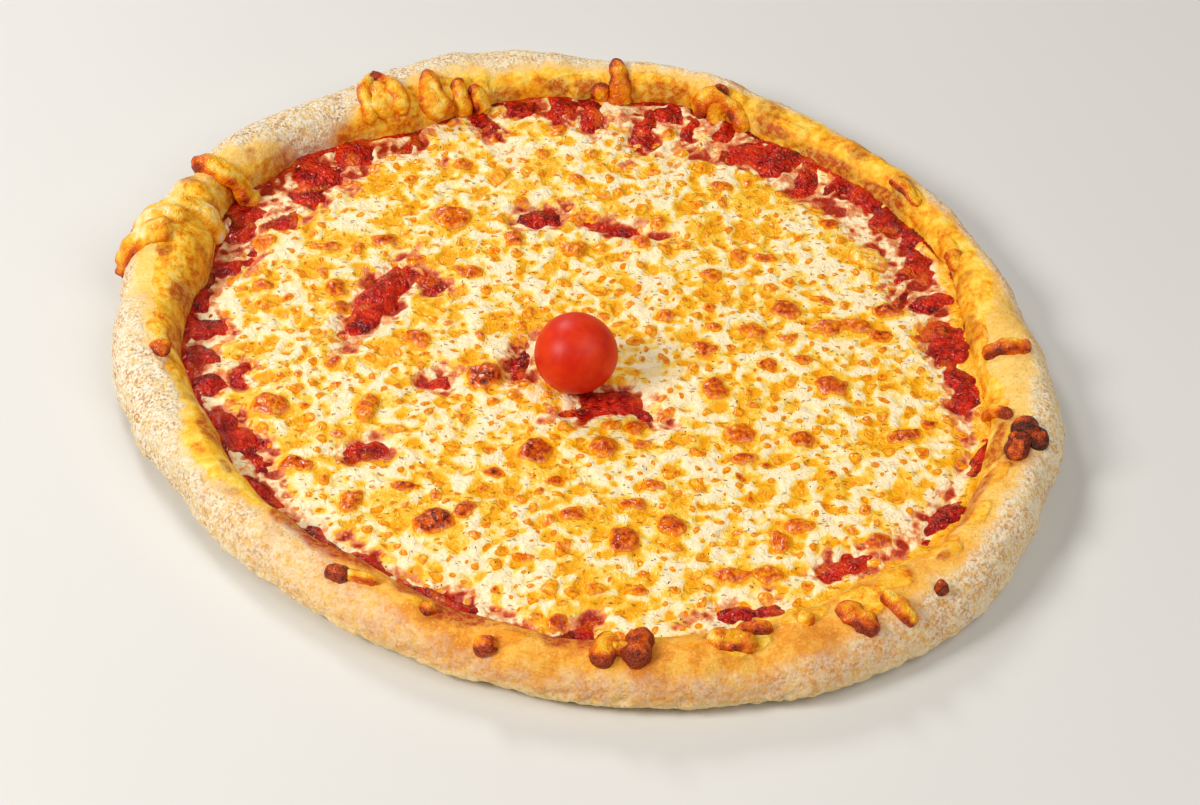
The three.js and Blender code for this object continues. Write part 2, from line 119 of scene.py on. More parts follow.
# Bare patches of sauce inside the cheese: x, y, half length, half width, turn, rise
SAUCE_PATCHES = [
    (-67, 20, 17, 5.6, 68, 2.6), (-52, 31, 5.5, 3, -35, 0.9), (-17.5, 64, 6.4, 4.2, 10, 1.2),
    (6, 60.5, 6.4, 1.4, -12, 0.5), (8.4, -22.6, 8.2, 4.6, -4, 1), (16.5, -26.6, 5.4, 1.7, -28, 0.7),
    (-1.5, -26.4, 4.6, 1.7, 26, 0.7), (-20.5, -6, 5, 1.9, 78, 0.7), (-45, -16, 4.2, 2.4, 30, 0.6),
    (-65, -47.5, 5.4, 2.6, 25, 0.9), (98, 31, 3.6, 2.2, 60, 0.6), (-62, 97, 3.4, 2, 60, 0.7),
]

# Bare clumps of sauce between the cheese and the rim: angle, radius, half length, half width,
# turn from outwards
SAUCE_CLUMPS = [
    (3.5, 112.5, 7, 5.4, 60), (8.5, 110.5, 4.4, 5.4, 90), (15.5, 112, 6.4, 4, 0), (24, 110, 8, 2.6, 35),
    (25, 115.8, 8, 2, 84), (32.5, 119, 7, 1.8, 88), (36.5, 115.5, 6, 3.6, 30), (43, 118.8, 7.5, 2.4, 84),
    (47.5, 116, 3.4, 2.4, 0), (52.6, 113, 7.6, 3.4, 25), (58, 113.5, 8, 6, 0), (63.5, 113.5, 7, 5.6, 90),
    (68.8, 118, 6, 2.6, 0), (75, 117, 8, 1.8, 0), (79.5, 123, 5, 3.6, 90), (82, 115, 10, 3.4, 0),
    (86.4, 122, 4.6, 2.2, 0), (91, 121, 8, 3.2, 0), (95.6, 123, 5, 3.4, 0), (102.5, 124, 3.6, 5, 0),
    (108, 118, 8.6, 2.2, 8), (120.6, 116.4, 3.6, 1.8, 0), (130.5, 123.6, 5, 6, 20), (138, 122, 9.5, 6, 10),
    (142.4, 116.4, 5, 5, 60), (147.5, 114.4, 6.5, 2.4, 80), (151.4, 127, 6.4, 5.4, 20),
    (155.5, 124.5, 6, 2.4, 60), (163.4, 118.6, 5.6, 2, 70), (172.4, 123, 4.6, 2.4, 70),
    (178.4, 118.6, 5.6, 6, 0), (185, 119.5, 6, 6.4, 90), (190, 117.4, 4, 4, 90), (187.6, 106, 2.4, 3.6, 0),
    (199.4, 115.6, 4.6, 5, 90), (204.4, 112.4, 7, 4.6, 100), (209, 111, 4, 2.6, 100),
    (216, 115.6, 9, 2.2, 92), (223, 116, 6, 2, 88), (230, 115, 8, 2.8, 84), (237.5, 112.6, 7, 2.6, 76),
    (248, 114.4, 8, 2.2, 94), (254, 116.4, 6, 3, 100), (268.5, 122.4, 3.4, 3, 0), (271.6, 120.4, 4, 3, 0),
    (292.4, 118.6, 6, 2.2, 84), (296.8, 120.8, 4, 2.2, 60), (310.6, 116.8, 5.4, 2.6, 80),
    (328.5, 126, 8, 2.8, 84), (340.5, 125.6, 9, 1.8, 88), (352.4, 116.8, 5, 4.6, 60),
    (356.6, 114.6, 6, 3.6, 110),
]

# Golden pools of fat in the cheese: x, y, half length, half width, turn, strength
GOLD_POOLS = [
    (-70, 75, 12, 6, 10, 0.8), (-45, 88, 6, 5, 0, 0.7), (-32, 84, 5, 5, 0, 0.8), (-18, 90, 9, 8, 0, 0.8),
    (-76, 48, 10, 5, -10, 0.85), (-90, 56, 4, 10, 0, 0.75), (-88, 34, 8, 8, 0, 0.85),
    (-82, 23, 7, 6, 0, 0.9), (-46, 60, 9, 8, 0, 0.9), (-41, 48, 4, 6, 0, 0.85), (-25, 50, 4.6, 6, 0, 0.7),
    (-5, 47, 6.4, 4.6, 0, 0.75), (-25, 74, 5, 3.6, 0, 0.7), (-20, 79, 9, 3, 10, 0.65),
    (50, 75, 8, 10, 0, 0.85), (62, 74, 6, 9, 0, 0.7), (36, 60, 9, 6, -10, 0.85), (22, 63, 4, 6, 0, 0.75),
    (50, 60, 7, 5, 0, 0.8), (60, 25, 8, 6, -20, 0.9), (80, 15, 14, 7, 0, 0.9), (51, 10, 6, 8, 0, 0.85),
    (38, 37, 5, 5, 0, 0.7), (65, 38, 4, 4.4, 0, 0.7), (47, 47, 5, 4, 0, 0.7), (15, 52, 4, 6, 0, 0.7),
    (2, 90, 5, 6, 0, 0.7), (16, 97, 5, 4, 0, 0.75), (36, 92, 5, 4, 0, 0.7), (72, 27, 5, 4, -30, 0.7),
    (75, -11, 9, 8, 0, 0.8), (95, -9, 11, 7, 0, 0.7), (85, -40, 8, 6, 20, 0.75), (32, -40, 8, 6, -20, 0.75),
    (4, -75, 8, 8, 0, 0.9), (3, -62, 8, 3, -5, 0.75), (20, -60, 7, 4.4, 0, 0.7), (46, -36, 7, 6, 0, 0.85),
    (65, -37, 6, 6, 0, 0.8), (3, -103, 6, 5, 0, 0.8), (12, -100, 4, 6, 0, 0.7), (27, -104, 6, 4, 0, 0.7),
    (50, -95, 12, 5, -4, 0.85), (58, -80, 4.6, 7, 10, 0.8), (64, -73, 7, 5, 0, 0.75),
    (60, -101, 5, 4, 0, 0.7), (30, -115, 7, 3, 0, 0.7), (-105, -7, 10, 6, 0, 0.8), (-94, -19, 6, 6, 0, 0.7),
    (-97, -31, 9, 7, 0, 0.85), (-84, -45, 8, 6, 0, 0.7), (-74, -42, 7, 6, 0, 0.8),
    (-67, -30, 5, 9, 10, 0.9), (-88, -55, 8, 4, 0, 0.85), (-72, -54, 10, 4, 0, 0.9),
    (-56, -69, 8, 6, 0, 0.85), (-48, -76, 11, 6, 0, 0.95), (-36, -86, 6, 5, 0, 0.8),
    (-10, -56, 8, 6, 0, 0.8), (-19, -50, 4, 8, 0, 0.8), (-15, -66, 5, 5, 0, 0.7), (-4, -75, 6, 6, 0, 0.8),
    (-5, -88, 4, 6, 0, 0.75), (-22, -77, 6, 4.6, 0, 0.7), (-41, -55, 6, 5, 0, 0.75),
    (-54, -6, 4, 4, 0, 0.7), (-32, -14, 7, 8, 0, 0.8), (-60, -50, 9, 4, 0, 0.8), (102, 44, 4, 8, -10, 0.7),
    (106, 34, 4, 5, 0, 0.7), (-20, 110, 8, 5, 0, 0.6), (35, 112, 4, 7, 0, 0.75), (-120, 15, 3, 10, 0, 0.6),
    (112, 22, 4, 8, 0, 0.6),
]

# The browned bubbles of the cheese: x, y, half length, half width, turn, how brown
BUBBLES = [
    (-46, 61, 7, 5.6, 10, 0.66), (-39, 35, 4.6, 3, 0, 0.66), (-80, 25, 3.4, 4.2, 20, 0.7),
    (-78, 16, 3.6, 3, 0, 0.7), (-53, 2, 5, 3.4, -25, 0.7), (-31, -14, 5.8, 5, 80, 0.82),
    (-14.5, -46, 5.6, 5, 50, 0.8), (-43, -78, 6.4, 4.8, 20, 0.82), (-34, -73, 3.8, 2.6, 60, 0.8),
    (-67.5, -71, 4.8, 3, 80, 0.66), (-95, -31, 5.6, 5, 5, 0.68), (-66, -31, 6.4, 3.2, 80, 0.62),
    (-85, -56, 5.2, 2.8, -5, 0.74), (-52, -63.5, 4.2, 2, -5, 0.78), (-2.5, -73, 3.8, 2.8, 20, 0.72),
    (12.5, -83, 5.4, 4.4, 70, 0.78), (26, -76.5, 4.8, 4.2, -40, 0.74), (44, -95, 6.6, 3, 0, 0.64),
    (54, -94.4, 5, 3, 0, 0.62), (58, -81, 4.8, 3, -78, 0.68), (64, -73.6, 4.4, 2.8, 5, 0.64),
    (86, -79, 4.2, 2.8, 10, 0.74), (15.5, -34.5, 4.4, 3.6, 85, 0.72), (6, -43.5, 4.8, 4, 80, 0.68),
    (39.4, -16.4, 5.2, 3.8, -80, 0.7), (46.8, -35.4, 4.8, 4.2, 20, 0.64), (47.6, -46, 4.4, 3, 20, 0.72),
    (75, -13, 5.6, 3.8, -20, 0.74), (96, -33, 5.6, 3, 22, 0.74), (104, -27, 2.8, 2.4, 0, 0.82),
    (65, -37.5, 3.8, 3.6, 0, 0.72), (74, 14, 5.2, 4.2, 15, 0.66), (83, 16.4, 6, 3.4, -10, 0.64),
    (90.6, 12, 4, 3.4, 0, 0.74), (61.4, 22, 5, 4.2, -30, 0.74), (93.6, 24, 5.4, 3.4, 18, 0.78),
    (50.6, 12, 4.6, 3.6, 0, 0.6), (54.6, 47, 3.8, 2.2, -15, 0.68), (46.6, 48, 3.2, 3.2, 0, 0.64),
    (88, 49, 6.4, 5.4, -60, 0.3), (76, 65, 3.6, 2.8, -10, 0.74), (-103, 24.4, 3.4, 2.4, 10, 0.66),
    (-104, 46, 4.2, 3, 20, 0.6), (-67, 48.6, 4, 2.4, 5, 0.72), (-85, 44.6, 5, 2.4, 8, 0.6),
    (-75, 44, 3.4, 2.2, 80, 0.62), (-84, 32, 3.4, 2, 84, 0.6), (-80, 78, 5, 2.4, -40, 0.62),
    (-56, 41, 3.6, 2, -20, 0.66), (-25, 51, 4, 3.2, 80, 0.7), (-18, 96, 3.4, 2.6, 80, 0.56),
    (-44, 89, 3.2, 3.2, 0, 0.6), (-31, 84, 4, 2.8, 85, 0.48), (-6, 83, 3.2, 2, -20, 0.62),
    (-3, 64.6, 5.6, 2.4, 10, 0.56), (-6, 47.4, 4.4, 3.8, 0, 0.58), (-13, 109, 4, 2.4, 84, 0.62),
    (41, 82.4, 3.6, 2.2, -5, 0.62), (21, 63, 3.8, 2.2, 80, 0.6), (16, 53, 4.4, 2.6, 85, 0.68),
    (38, 37.4, 3.6, 3, 0, 0.62), (72, 28, 4, 1.8, -24, 0.62), (62, 9, 3.8, 2, 10, 0.62),
    (24, 17.6, 3.2, 2.8, 0, 0.66), (36, 3, 4.4, 3, -20, 0.72), (55.6, -4, 3.4, 2.6, 0, 0.66),
    (66, -1, 3.6, 2.4, 0, 0.62), (8, -34, 3.4, 2.4, 0, 0.6), (24.6, -28, 3.4, 1.8, 30, 0.62),
    (17, -42, 3.2, 2, 15, 0.62), (47, -53.4, 1.7, 1.2, -30, 0.84), (54, -47.6, 1.8, 1.5, 0, 0.76),
    (50, -62, 2.2, 1.3, 80, 0.76), (21, -59.6, 3.8, 2.6, 0, 0.66), (14.6, -67.6, 4.2, 2.4, -8, 0.68),
    (74, -51.4, 2.2, 1.2, -20, 0.78), (17, -103, 3.6, 1.7, 10, 0.62), (5, -103, 3.2, 3, 0, 0.52),
    (-77.6, -9.6, 3, 1.8, 50, 0.8), (-76, -21, 1.7, 1.5, 0, 0.76), (-26, -56.6, 3.6, 2, -10, 0.76),
    (-8, -58.4, 3.6, 2, 12, 0.72), (-71, -54.6, 1.8, 1.6, 0, 0.9), (-5, -87, 4, 2.6, 84, 0.56),
    (-16, -91, 3.4, 1.7, 0, 0.62), (-5, -116, 3.4, 2.6, 0, 0.76), (-101, 15, 4, 1.8, 10, 0.52),
]

# Scorched and browned marks on the dough: x, y, radius, strength
SCORCHES = [
    (130, -46, 8, 0.8), (126, -33, 6, 0.5), (137, 20, 6, 0.5), (131, 42, 6, 0.5), (124, 58, 5, 0.45),
    (139, 6, 5, 0.35), (87, 96, 5, 0.7), (100, 79, 5, 0.7), (46, 127, 5, 0.75), (57, 116, 6, 0.55),
    (63, 122, 4, 0.5), (-133, 24, 3, 0.8), (-127, 12, 4, 0.6), (-130, 51, 2, 0.9), (-118, 64, 8, 0.4),
    (-131, 62, 4, 0.75), (-101, -76, 3, 0.55), (-41, -122, 5, 0.4), (107, 52, 5, 0.6), (112, 43, 4, 0.6),
    (118, 36, 3, 0.6), (-40, 134, 5, 0.3), (-121, 30, 3, 0.6), (-112, 78, 3, 0.6),
    (-124, -2, 4, 0.5), (-118, -36, 4, 0.4), (95, -112, 5, 0.3), (-88, -93, 4, 0.3), (-58, -128, 5, 0.35),
    (70, -128, 7, 0.3), (20, -140, 8, 0.3),
]

# Sauce smeared on the rim's inner flank: angle, radius, half length round the rim, half width, strength
SMEARS = [
    (231, 120, 19, 4.4, 1), (221, 118.6, 6, 3, 0.8), (247, 121.4, 5, 3.6, 0.8), (255, 124.6, 10, 5.4, 1),
    (267.6, 128, 4, 5, 0.9), (271.4, 127, 3, 6, 0.9), (326, 133, 6, 2, 0.7), (332, 131.4, 9, 2.4, 0.8),
    (341, 129.4, 10, 2, 0.8), (150, 133.6, 5, 2, 0.6), (156.4, 132.6, 5, 2, 0.7), (175.6, 126.6, 4, 3, 0.6),
    (184.6, 125.8, 5, 2.4, 0.7), (204, 121, 8, 3, 0.8), (213, 123.6, 3, 1.6, 0.7),
    (40, 122.4, 10, 1.3, 0.9), (52, 122.2, 10, 1.3, 0.9), (62, 123.6, 6, 1.3, 0.8), (139, 131, 9, 2.4, 0.8),
    (131, 128.4, 5, 2, 0.7), (80, 129.2, 7, 1.2, 0.7), (92, 129, 4, 1.6, 0.8), (96, 128.6, 4, 1.4, 0.8),
    (104, 128, 5, 1.6, 0.7), (318.6, 138.4, 2.4, 1.6, 0.8), (286, 133, 4, 1.6, 0.4),
    (6, 119.4, 6, 1.4, 0.5), (16, 119.6, 4, 1.2, 0.5),
]

# Films of golden melted cheese over the rim: angle, radius, half length round the rim, half width, strength
FILMS = [
    (306, 138, 9, 7, 0.9), (311.6, 136, 7, 5, 0.7), (299, 133, 7, 4, 0.8), (289.5, 135.5, 8, 5, 0.9),
    (284.4, 132.6, 6, 4, 0.6), (273.4, 133, 4, 6, 0.95), (279.6, 130, 5, 3, 0.6), (262, 131, 4, 2, 0.6),
    (249, 126, 4, 3, 0.7), (241, 125.4, 5, 2, 0.7), (320, 135, 7, 5, 0.7), (327, 136.6, 6, 3, 0.7),
    (335, 134, 7, 3, 0.6), (342, 131, 8, 3, 0.7), (348, 127, 5, 4, 0.7), (114, 128.6, 9, 6, 1),
    (123.4, 134, 6.4, 8, 1), (121.6, 128, 8, 6, 1), (108.6, 127.6, 6, 4, 1), (150, 134, 5, 6, 0.8),
    (156, 138, 5, 5, 0.8), (161, 133, 6, 6, 0.8), (168, 132, 7, 6, 0.9), (175, 130, 7, 6, 0.8),
    (184, 127.6, 6, 6, 0.8), (191, 128, 6, 5, 0.8), (101, 128.4, 8, 2, 0.7), (93, 129.4, 7, 2.4, 0.8),
    (82, 130, 10, 2.4, 0.8), (71, 131, 7, 5, 0.9), (60, 125, 9, 2.6, 0.7), (48, 130, 7, 4, 0.7),
    (36, 126.4, 9, 3.4, 0.8), (24, 124, 8, 2.4, 0.7), (12, 120.6, 9, 2, 0.7), (3, 121, 5, 2, 0.7),
    (355, 121, 6, 2, 0.7),
]

# Soft golden lumps of the rim: angle, radius, half length outwards, half width, height
RIM_LUMPS = [
    (115, 130, 7, 5, 1.3), (121, 130, 7, 6, 1.1), (110.5, 129, 2.4, 2.4, 1.5), (107, 132.5, 2.4, 2, 1.2),
    (112.5, 127, 3, 4, 0.8), (155, 143, 6, 4, 1.8), (152.4, 139, 5, 2.6, 1.2), (161.5, 137, 3, 3, 1.4),
    (166, 142, 5, 5, 1.5), (168, 134, 8, 7, 1.2), (180, 132, 8, 8, 1), (185, 130, 4, 5, 0.8),
    (199, 124, 4, 5, 1.2), (208, 125, 4, 4, 0.9), (213, 128, 5, 6, 0.9), (48, 132, 3, 6, 0.9),
    (37, 127.6, 3, 4, 1), (30, 127, 3, 5, 0.7), (70, 134, 4, 4, 0.9), (248.6, 126, 3, 3, 1),
    (320, 137.6, 3, 4, 1), (324, 136.6, 4, 3, 1), (286, 135.6, 3, 3, 0.8), (22, 124, 2.4, 5, 0.7),
    (16, 124.6, 2.4, 3, 0.7), (296, 137, 3, 3, 0.8), (144, 134, 2.4, 4, 0.7), (194, 127, 3, 3, 0.8),
]

# Cheese baked on to the rim: strands of angle and radius from the outer end inwards, width, height,
# how brown, and how much wider the inner end is
RIM_CHEESE = {
    "left_tip": [([(169.4, 150.4), (167.8, 144.6), (166.4, 135)], 5.6, 3.9, 0.34, 2.4)],
    "left_flap": [
        ([(163.2, 150.2), (161.2, 146), (160.2, 141), (159.2, 134), (158.4, 128)], 5, 3.4, 0.26, 1.9),
        ([(165.6, 148.5), (164, 142.5), (162.4, 134)], 5.4, 3.6, 0.26, 2.2),
    ],
    "upper_left_strand": [([(150.4, 148.4), (150, 138), (147.6, 128)], 5.6, 3.8, 0.4, 2.5)],
    "loop": [
        ([(126.2, 126.5), (124.8, 136), (121.9, 144)], 6, 3.6, 0.43, 0.8),
        ([(122.3, 144), (120.6, 136.5), (121.2, 124)], 5, 3.6, 0.5, 1.4),
        ([(122.6, 142), (123.2, 134), (123.8, 125.4)], 8, 2.6, 0.4, 1.5),
    ],
    "pointed_strand": [([(115, 137.4), (115.4, 130), (116, 123.4)], 3.2, 3.0, 0.36, 4.8)],
    "slim_strand": [([(111.4, 132), (111, 124)], 4.4, 2.8, 0.4, 1.7)],
    "slanted_strand": [([(109.4, 130), (107.2, 124)], 5.6, 2.8, 0.42, 1.4)],
    "top_knob": [
        ([(87.8, 137.6), (87.2, 131), (86.4, 125)], 4.8, 3.8, 0.58, 2.2),
        ([(90, 129.6), (89.4, 124.6)], 6.4, 2.8, 0.48, 1.2),
    ],
    "burnt_fold": [
        ([(75.4, 127), (72.3, 128.6), (69.6, 127), (66.2, 123.2)], 6.4, 3.8, 0.52, 0.8),
        ([(72, 129), (71.2, 123)], 8.4, 3, 0.38, 1),
        ([(73, 129.4), (70.4, 128.8)], 3.6, 4.6, 0.9, 1),
    ],
    "right_upper_patch": [([(40.4, 126.2), (33.6, 125.8)], 5, 2, 0.5, 1)],
    "right_upper_knob": [([(23, 124), (19.6, 122.4)], 5.6, 3, 0.5, 1)],
    "right_strip": [([(359.6, 135.6), (359.4, 128.6), (359, 121.4)], 5.8, 3.4, 0.6, 1)],
    "right_ridge": [([(345.4, 131.5), (348.5, 125), (351, 120.5)], 4, 2.6, 0.42, 1.3)],
    "burnt_crumb": [
        ([(344.4, 133), (342.4, 141.4)], 9.4, 4.2, 0.93, 1),
        ([(343.6, 138.5), (341.4, 143.4)], 7.4, 3.8, 0.95, 1),
        ([(342.8, 136.5), (338.2, 136.5)], 7.4, 3.2, 0.84, 1),
    ],
    "small_ball": [([(315.3, 147), (313.6, 146.8)], 4.2, 3.6, 0.87, 1)],
    "lower_right_pair": [([(309.1, 151), (308.2, 139)], 6.8, 3.6, 0.52, 0.9)],
    "lower_right_strip": [([(304.4, 149), (303, 135)], 6.8, 3.2, 0.6, 1.3)],
    "lower_bead": [([(299.5, 135), (297.2, 135.6)], 5.4, 3, 0.5, 1)],
    "lower_cluster": [
        ([(291.6, 138.4), (285.8, 133.6)], 8.4, 3.6, 0.5, 1),
        ([(294.2, 134.4), (289.6, 132.2)], 4.4, 3.2, 0.7, 1),
    ],
    "front_cluster": [
        ([(272.9, 139.6), (274.2, 128.6)], 7.6, 4.2, 0.57, 1.1),
        ([(276.8, 140.6), (278.2, 128.4)], 7.6, 4.8, 0.74, 1.1),
        ([(273.4, 134), (277.4, 134)], 5, 3.4, 0.5, 1),
    ],
    "front_knob": [([(257.9, 134.8), (260.9, 135.2)], 6.8, 4.2, 0.66, 1)],
    "front_left_bead": [([(252, 127.2), (249.8, 127.2)], 4.6, 3, 0.52, 1)],
    "lower_left_knob": [
        ([(236.2, 128.8), (239.6, 127)], 5.6, 3.8, 0.82, 1),
        ([(238.6, 127), (243.4, 124.6)], 3.2, 2.4, 0.4, 1),
    ],
    "left_blister": [([(189.5, 130.1), (186.7, 130.3)], 6, 2.6, 0.68, 1)],
}


def around(values, angle):
    """A closed smooth curve through values spread evenly round the pizza."""
    values = np.asarray(values, float)
    place = np.asarray(angle, float) % TURN / TURN * len(values)
    whole = np.floor(place).astype(int)
    t = place - whole
    before, start, end, after = (values[(whole + k) % len(values)] for k in (-1, 0, 1, 2))
    slope_in = (end - before) / 2
    slope_out = (after - start) / 2
    return (start + slope_in * t + (3 * (end - start) - 2 * slope_in - slope_out) * t ** 2
            + (2 * (start - end) + slope_in + slope_out) * t ** 3)


def ripple(angle, waves):
    """Small waves along the rim, each weaker than the last."""
    return sum(np.sin(np.radians(angle) * n + n * 1.7) / (i + 1) for i, n in enumerate(waves))


def bulge(angle, part):
    total = 0
    for where, height, outward, spread in RIM_BULGES:
        away = (angle - where + 180) % TURN - 180
        total = total + (height if part == "height" else outward) * np.exp(-((away / spread) ** 2))
    return total


def outer_radius(angle):
    return around(OUTER_RADIUS, angle) + bulge(angle, "outward") + 0.45 * ripple(angle, [9, 14, 23, 37])


def inner_radius(angle):
    return around(INNER_RADIUS, angle) + 0.7 * ripple(angle, [13, 19, 31])


def rim_height(angle):
    return around(RIM_HEIGHT, angle) + bulge(angle, "height") + 0.5 * ripple(angle, [11, 17, 26])


def cheese_radius(angle):
    ragged = around(CHEESE_RADIUS, angle) + 1.6 * ripple(angle, [11, 16, 23])
    return np.minimum(ragged, inner_radius(angle) - 3)


# How many random values the relief has along each side before it repeats
LATTICE = 64


def grain(x, y, z, size, seed):
    """Smooth random relief between -1 and 1 whose lumps are about the given size."""
    cells = np.random.default_rng(seed).uniform(-1, 1, (LATTICE,) * 3)
    places = [np.asarray(c, float) / size for c in np.broadcast_arrays(x, y, z)]
    whole = [np.floor(p).astype(int) for p in places]
    ease = [(p - w) ** 2 * (3 - 2 * (p - w)) for p, w in zip(places, whole)]
    total = 0
    for corner in itertools.product((0, 1), repeat=3):
        weight = 1
        for e, k in zip(ease, corner):
            weight = weight * (e if k else 1 - e)
        total = total + weight * cells[tuple((w + k) % LATTICE for w, k in zip(whole, corner))]
    return total


def smooth(low, high, value):
    t = np.clip((np.asarray(value, float) - low) / (high - low), 0, 1)
    return t * t * (3 - 2 * t)


def rim_point(angle, turn):
    """Radius and height on the rim: turn 0 points outwards, 90 is the crest, 180 meets the base."""
    outer = outer_radius(angle)
    inner = inner_radius(angle)
    middle = (outer + inner) / 2
    half = (outer - inner) / 2
    c = np.cos(np.radians(turn))
    s = np.sin(np.radians(turn))
    top = rim_height(angle) - RIM_BELLY
    floor = RIM_BELLY - np.where(c < 0, BASE_THICKNESS, 0)
    radius = middle + half * np.sign(c) * np.abs(c) ** SIDE_FULLNESS
    height = RIM_BELLY + np.where(s > 0, top * np.maximum(s, 0) ** CREST_FULLNESS, floor * np.maximum(s, -1))
    return radius, height


def rim_level(angle, radius):
    """Height of the rim's upper side at a radius."""
    outer = outer_radius(angle)
    inner = inner_radius(angle)
    share = np.clip((2 * radius - outer - inner) / (outer - inner), -0.999, 0.999)
    c = np.sign(share) * np.abs(share) ** (1 / SIDE_FULLNESS)
    s = np.sqrt(1 - c ** 2)
    return RIM_BELLY + (rim_height(angle) - RIM_BELLY) * s ** CREST_FULLNESS


# The canvas: a square of fine cells over the whole pizza, on which the toppings are laid out
# before they are meshed
CELL = 0.35
CANVAS_HALF = 150
canvas_axis = np.arange(-CANVAS_HALF, CANVAS_HALF + CELL, CELL)
CANVAS_X, CANVAS_Y = np.meshgrid(canvas_axis, canvas_axis)
CANVAS_ANGLE = np.degrees(np.arctan2(CANVAS_Y, CANVAS_X)) % TURN
CANVAS_RADIUS = np.hypot(CANVAS_X, CANVAS_Y)
# The same cells shifted unevenly, which frays and bends every shape that is stamped on them
WARPED_X = CANVAS_X + 0.9 * grain(CANVAS_X, CANVAS_Y, 0, 3.6, 1) + 0.4 * grain(CANVAS_X, CANVAS_Y, 0, 1.5, 2)
WARPED_Y = CANVAS_Y + 0.9 * grain(CANVAS_X, CANVAS_Y, 0, 3.6, 3) + 0.4 * grain(CANVAS_X, CANVAS_Y, 0, 1.5, 4)


def soften(field, radius):
    """A canvas blurred by a soft brush of the given radius."""
    waves = [np.fft.fftfreq(len(canvas_axis), CELL), np.fft.rfftfreq(len(canvas_axis), CELL)]
    pull = np.exp(-2 * (math.pi * radius) ** 2 * (waves[0][:, None] ** 2 + waves[1][None, :] ** 2))
    return np.fft.irfft2(np.fft.rfft2(field) * pull, field.shape)


def sample(field, x, y):
    """The canvas's value at places between its cells."""
    column = np.clip((x + CANVAS_HALF) / CELL, 0, len(canvas_axis) - 1.001)
    row = np.clip((y + CANVAS_HALF) / CELL, 0, len(canvas_axis) - 1.001)
    i = row.astype(int)
    j = column.astype(int)
    u = column - j
    v = row - i
    return ((field[i, j] * (1 - u) + field[i, j + 1] * u) * (1 - v)
            + (field[i + 1, j] * (1 - u) + field[i + 1, j + 1] * u) * v)


def stamp(field, x, y, reach, turn, paint):
    """Paints the larger of what is there and paint(along, across) around a place."""
    low_i, low_j = (max(int((p - reach + CANVAS_HALF) / CELL), 0) for p in (y, x))
    high_i, high_j = (int((p + reach + CANVAS_HALF) / CELL) + 1 for p in (y, x))
    window = (slice(low_i, high_i), slice(low_j, high_j))
    dx = WARPED_X[window] - x
    dy = WARPED_Y[window] - y
    c = math.cos(math.radians(turn))
    s = math.sin(math.radians(turn))
    field[window] = np.maximum(field[window], paint(dx * c + dy * s, dy * c - dx * s))


def clump_places():
    """The sauce clumps as ovals on the plan: x, y, half length, half width, turn."""
    for angle, radius, length, width, turn in SAUCE_CLUMPS:
        yield (radius * math.cos(math.radians(angle)), radius * math.sin(math.radians(angle)),
               length, width, angle + turn)


def oval(along, across, length, width):
    """About the distance inside an oval's edge: positive inside."""
    return (1 - np.hypot(along / length, across / width)) * min(length, width)


def lay_cover():
    """How far inside the cheese's ragged edge each place lies: negative where the sauce is bare."""
    ragged = (2.0 * grain(CANVAS_X, CANVAS_Y, 0, 7, 11) + 1.5 * grain(CANVAS_X, CANVAS_Y, 0, 3, 12)
              + 0.7 * grain(CANVAS_X, CANVAS_Y, 0, 1.4, 13))
    edge = inner_radius(CANVAS_ANGLE) - 1.0 + 2.6 * around(RIM_GOLD, CANVAS_ANGLE)
    cover = edge - CANVAS_RADIUS + 0.5 * ragged
    holes = [(*place, 0.75) for place in clump_places()]
    holes += [(x, y, length, width, turn, 0.4) for x, y, length, width, turn, _ in SAUCE_PATCHES]
    for x, y, length, width, turn, fray in holes:
        hole = np.full_like(cover, -50.0)
        stamp(hole, x, y, length * 2 + 12, turn,
              lambda along, across, a=length, b=width: oval(along, across, a, b))
        cover = np.minimum(cover, -hole - fray * ragged)
    return cover


def lay_shreds(rng):
    """Melted shreds of cheese, 0 in the gaps between them to 1 along their middles."""
    shreds = np.zeros_like(CANVAS_X)
    for _ in range(3000):
        angle = rng.uniform(0, TURN)
        radius = math.sqrt(rng.uniform(0, 1)) * (float(inner_radius(angle)) + 1)
        length = rng.uniform(2, 7)
        width = rng.uniform(0.8, 1.5)
        bend = rng.uniform(-0.06, 0.06)
        crown = rng.uniform(0.6, 1)
        stamp(shreds, radius * math.cos(math.radians(angle)), radius * math.sin(math.radians(angle)),
              length + 3, rng.uniform(0, 180),
              lambda u, v: crown * np.sqrt(np.clip(1 - (np.maximum(np.abs(u) - length, 0) / width) ** 2
                                                   - ((v - bend * u * u) / width) ** 2, 0, 1)))
    return soften(shreds, 0.55)


def lay_gold(rng):
    """Where fat has pooled golden between the shreds, 0 to 1."""
    gold = np.zeros_like(CANVAS_X)
    pools = list(GOLD_POOLS)
    for _ in range(420):
        angle = rng.uniform(0, TURN)
        radius = math.sqrt(rng.uniform(0, 1)) * (float(cheese_radius(angle)) - 1)
        length = rng.uniform(1.6, 4.2)
        pools.append((radius * math.cos(math.radians(angle)), radius * math.sin(math.radians(angle)),
                      length, length * rng.uniform(0.5, 0.9), rng.uniform(0, 180), rng.uniform(0.35, 0.8)))
    for x, y, length, width, turn, strength in pools:
        stamp(gold, x, y, length * 2.2, turn, lambda u, v: (
            strength * smooth(1.35, 0.45, np.hypot(u / length, v / width))))
    return gold


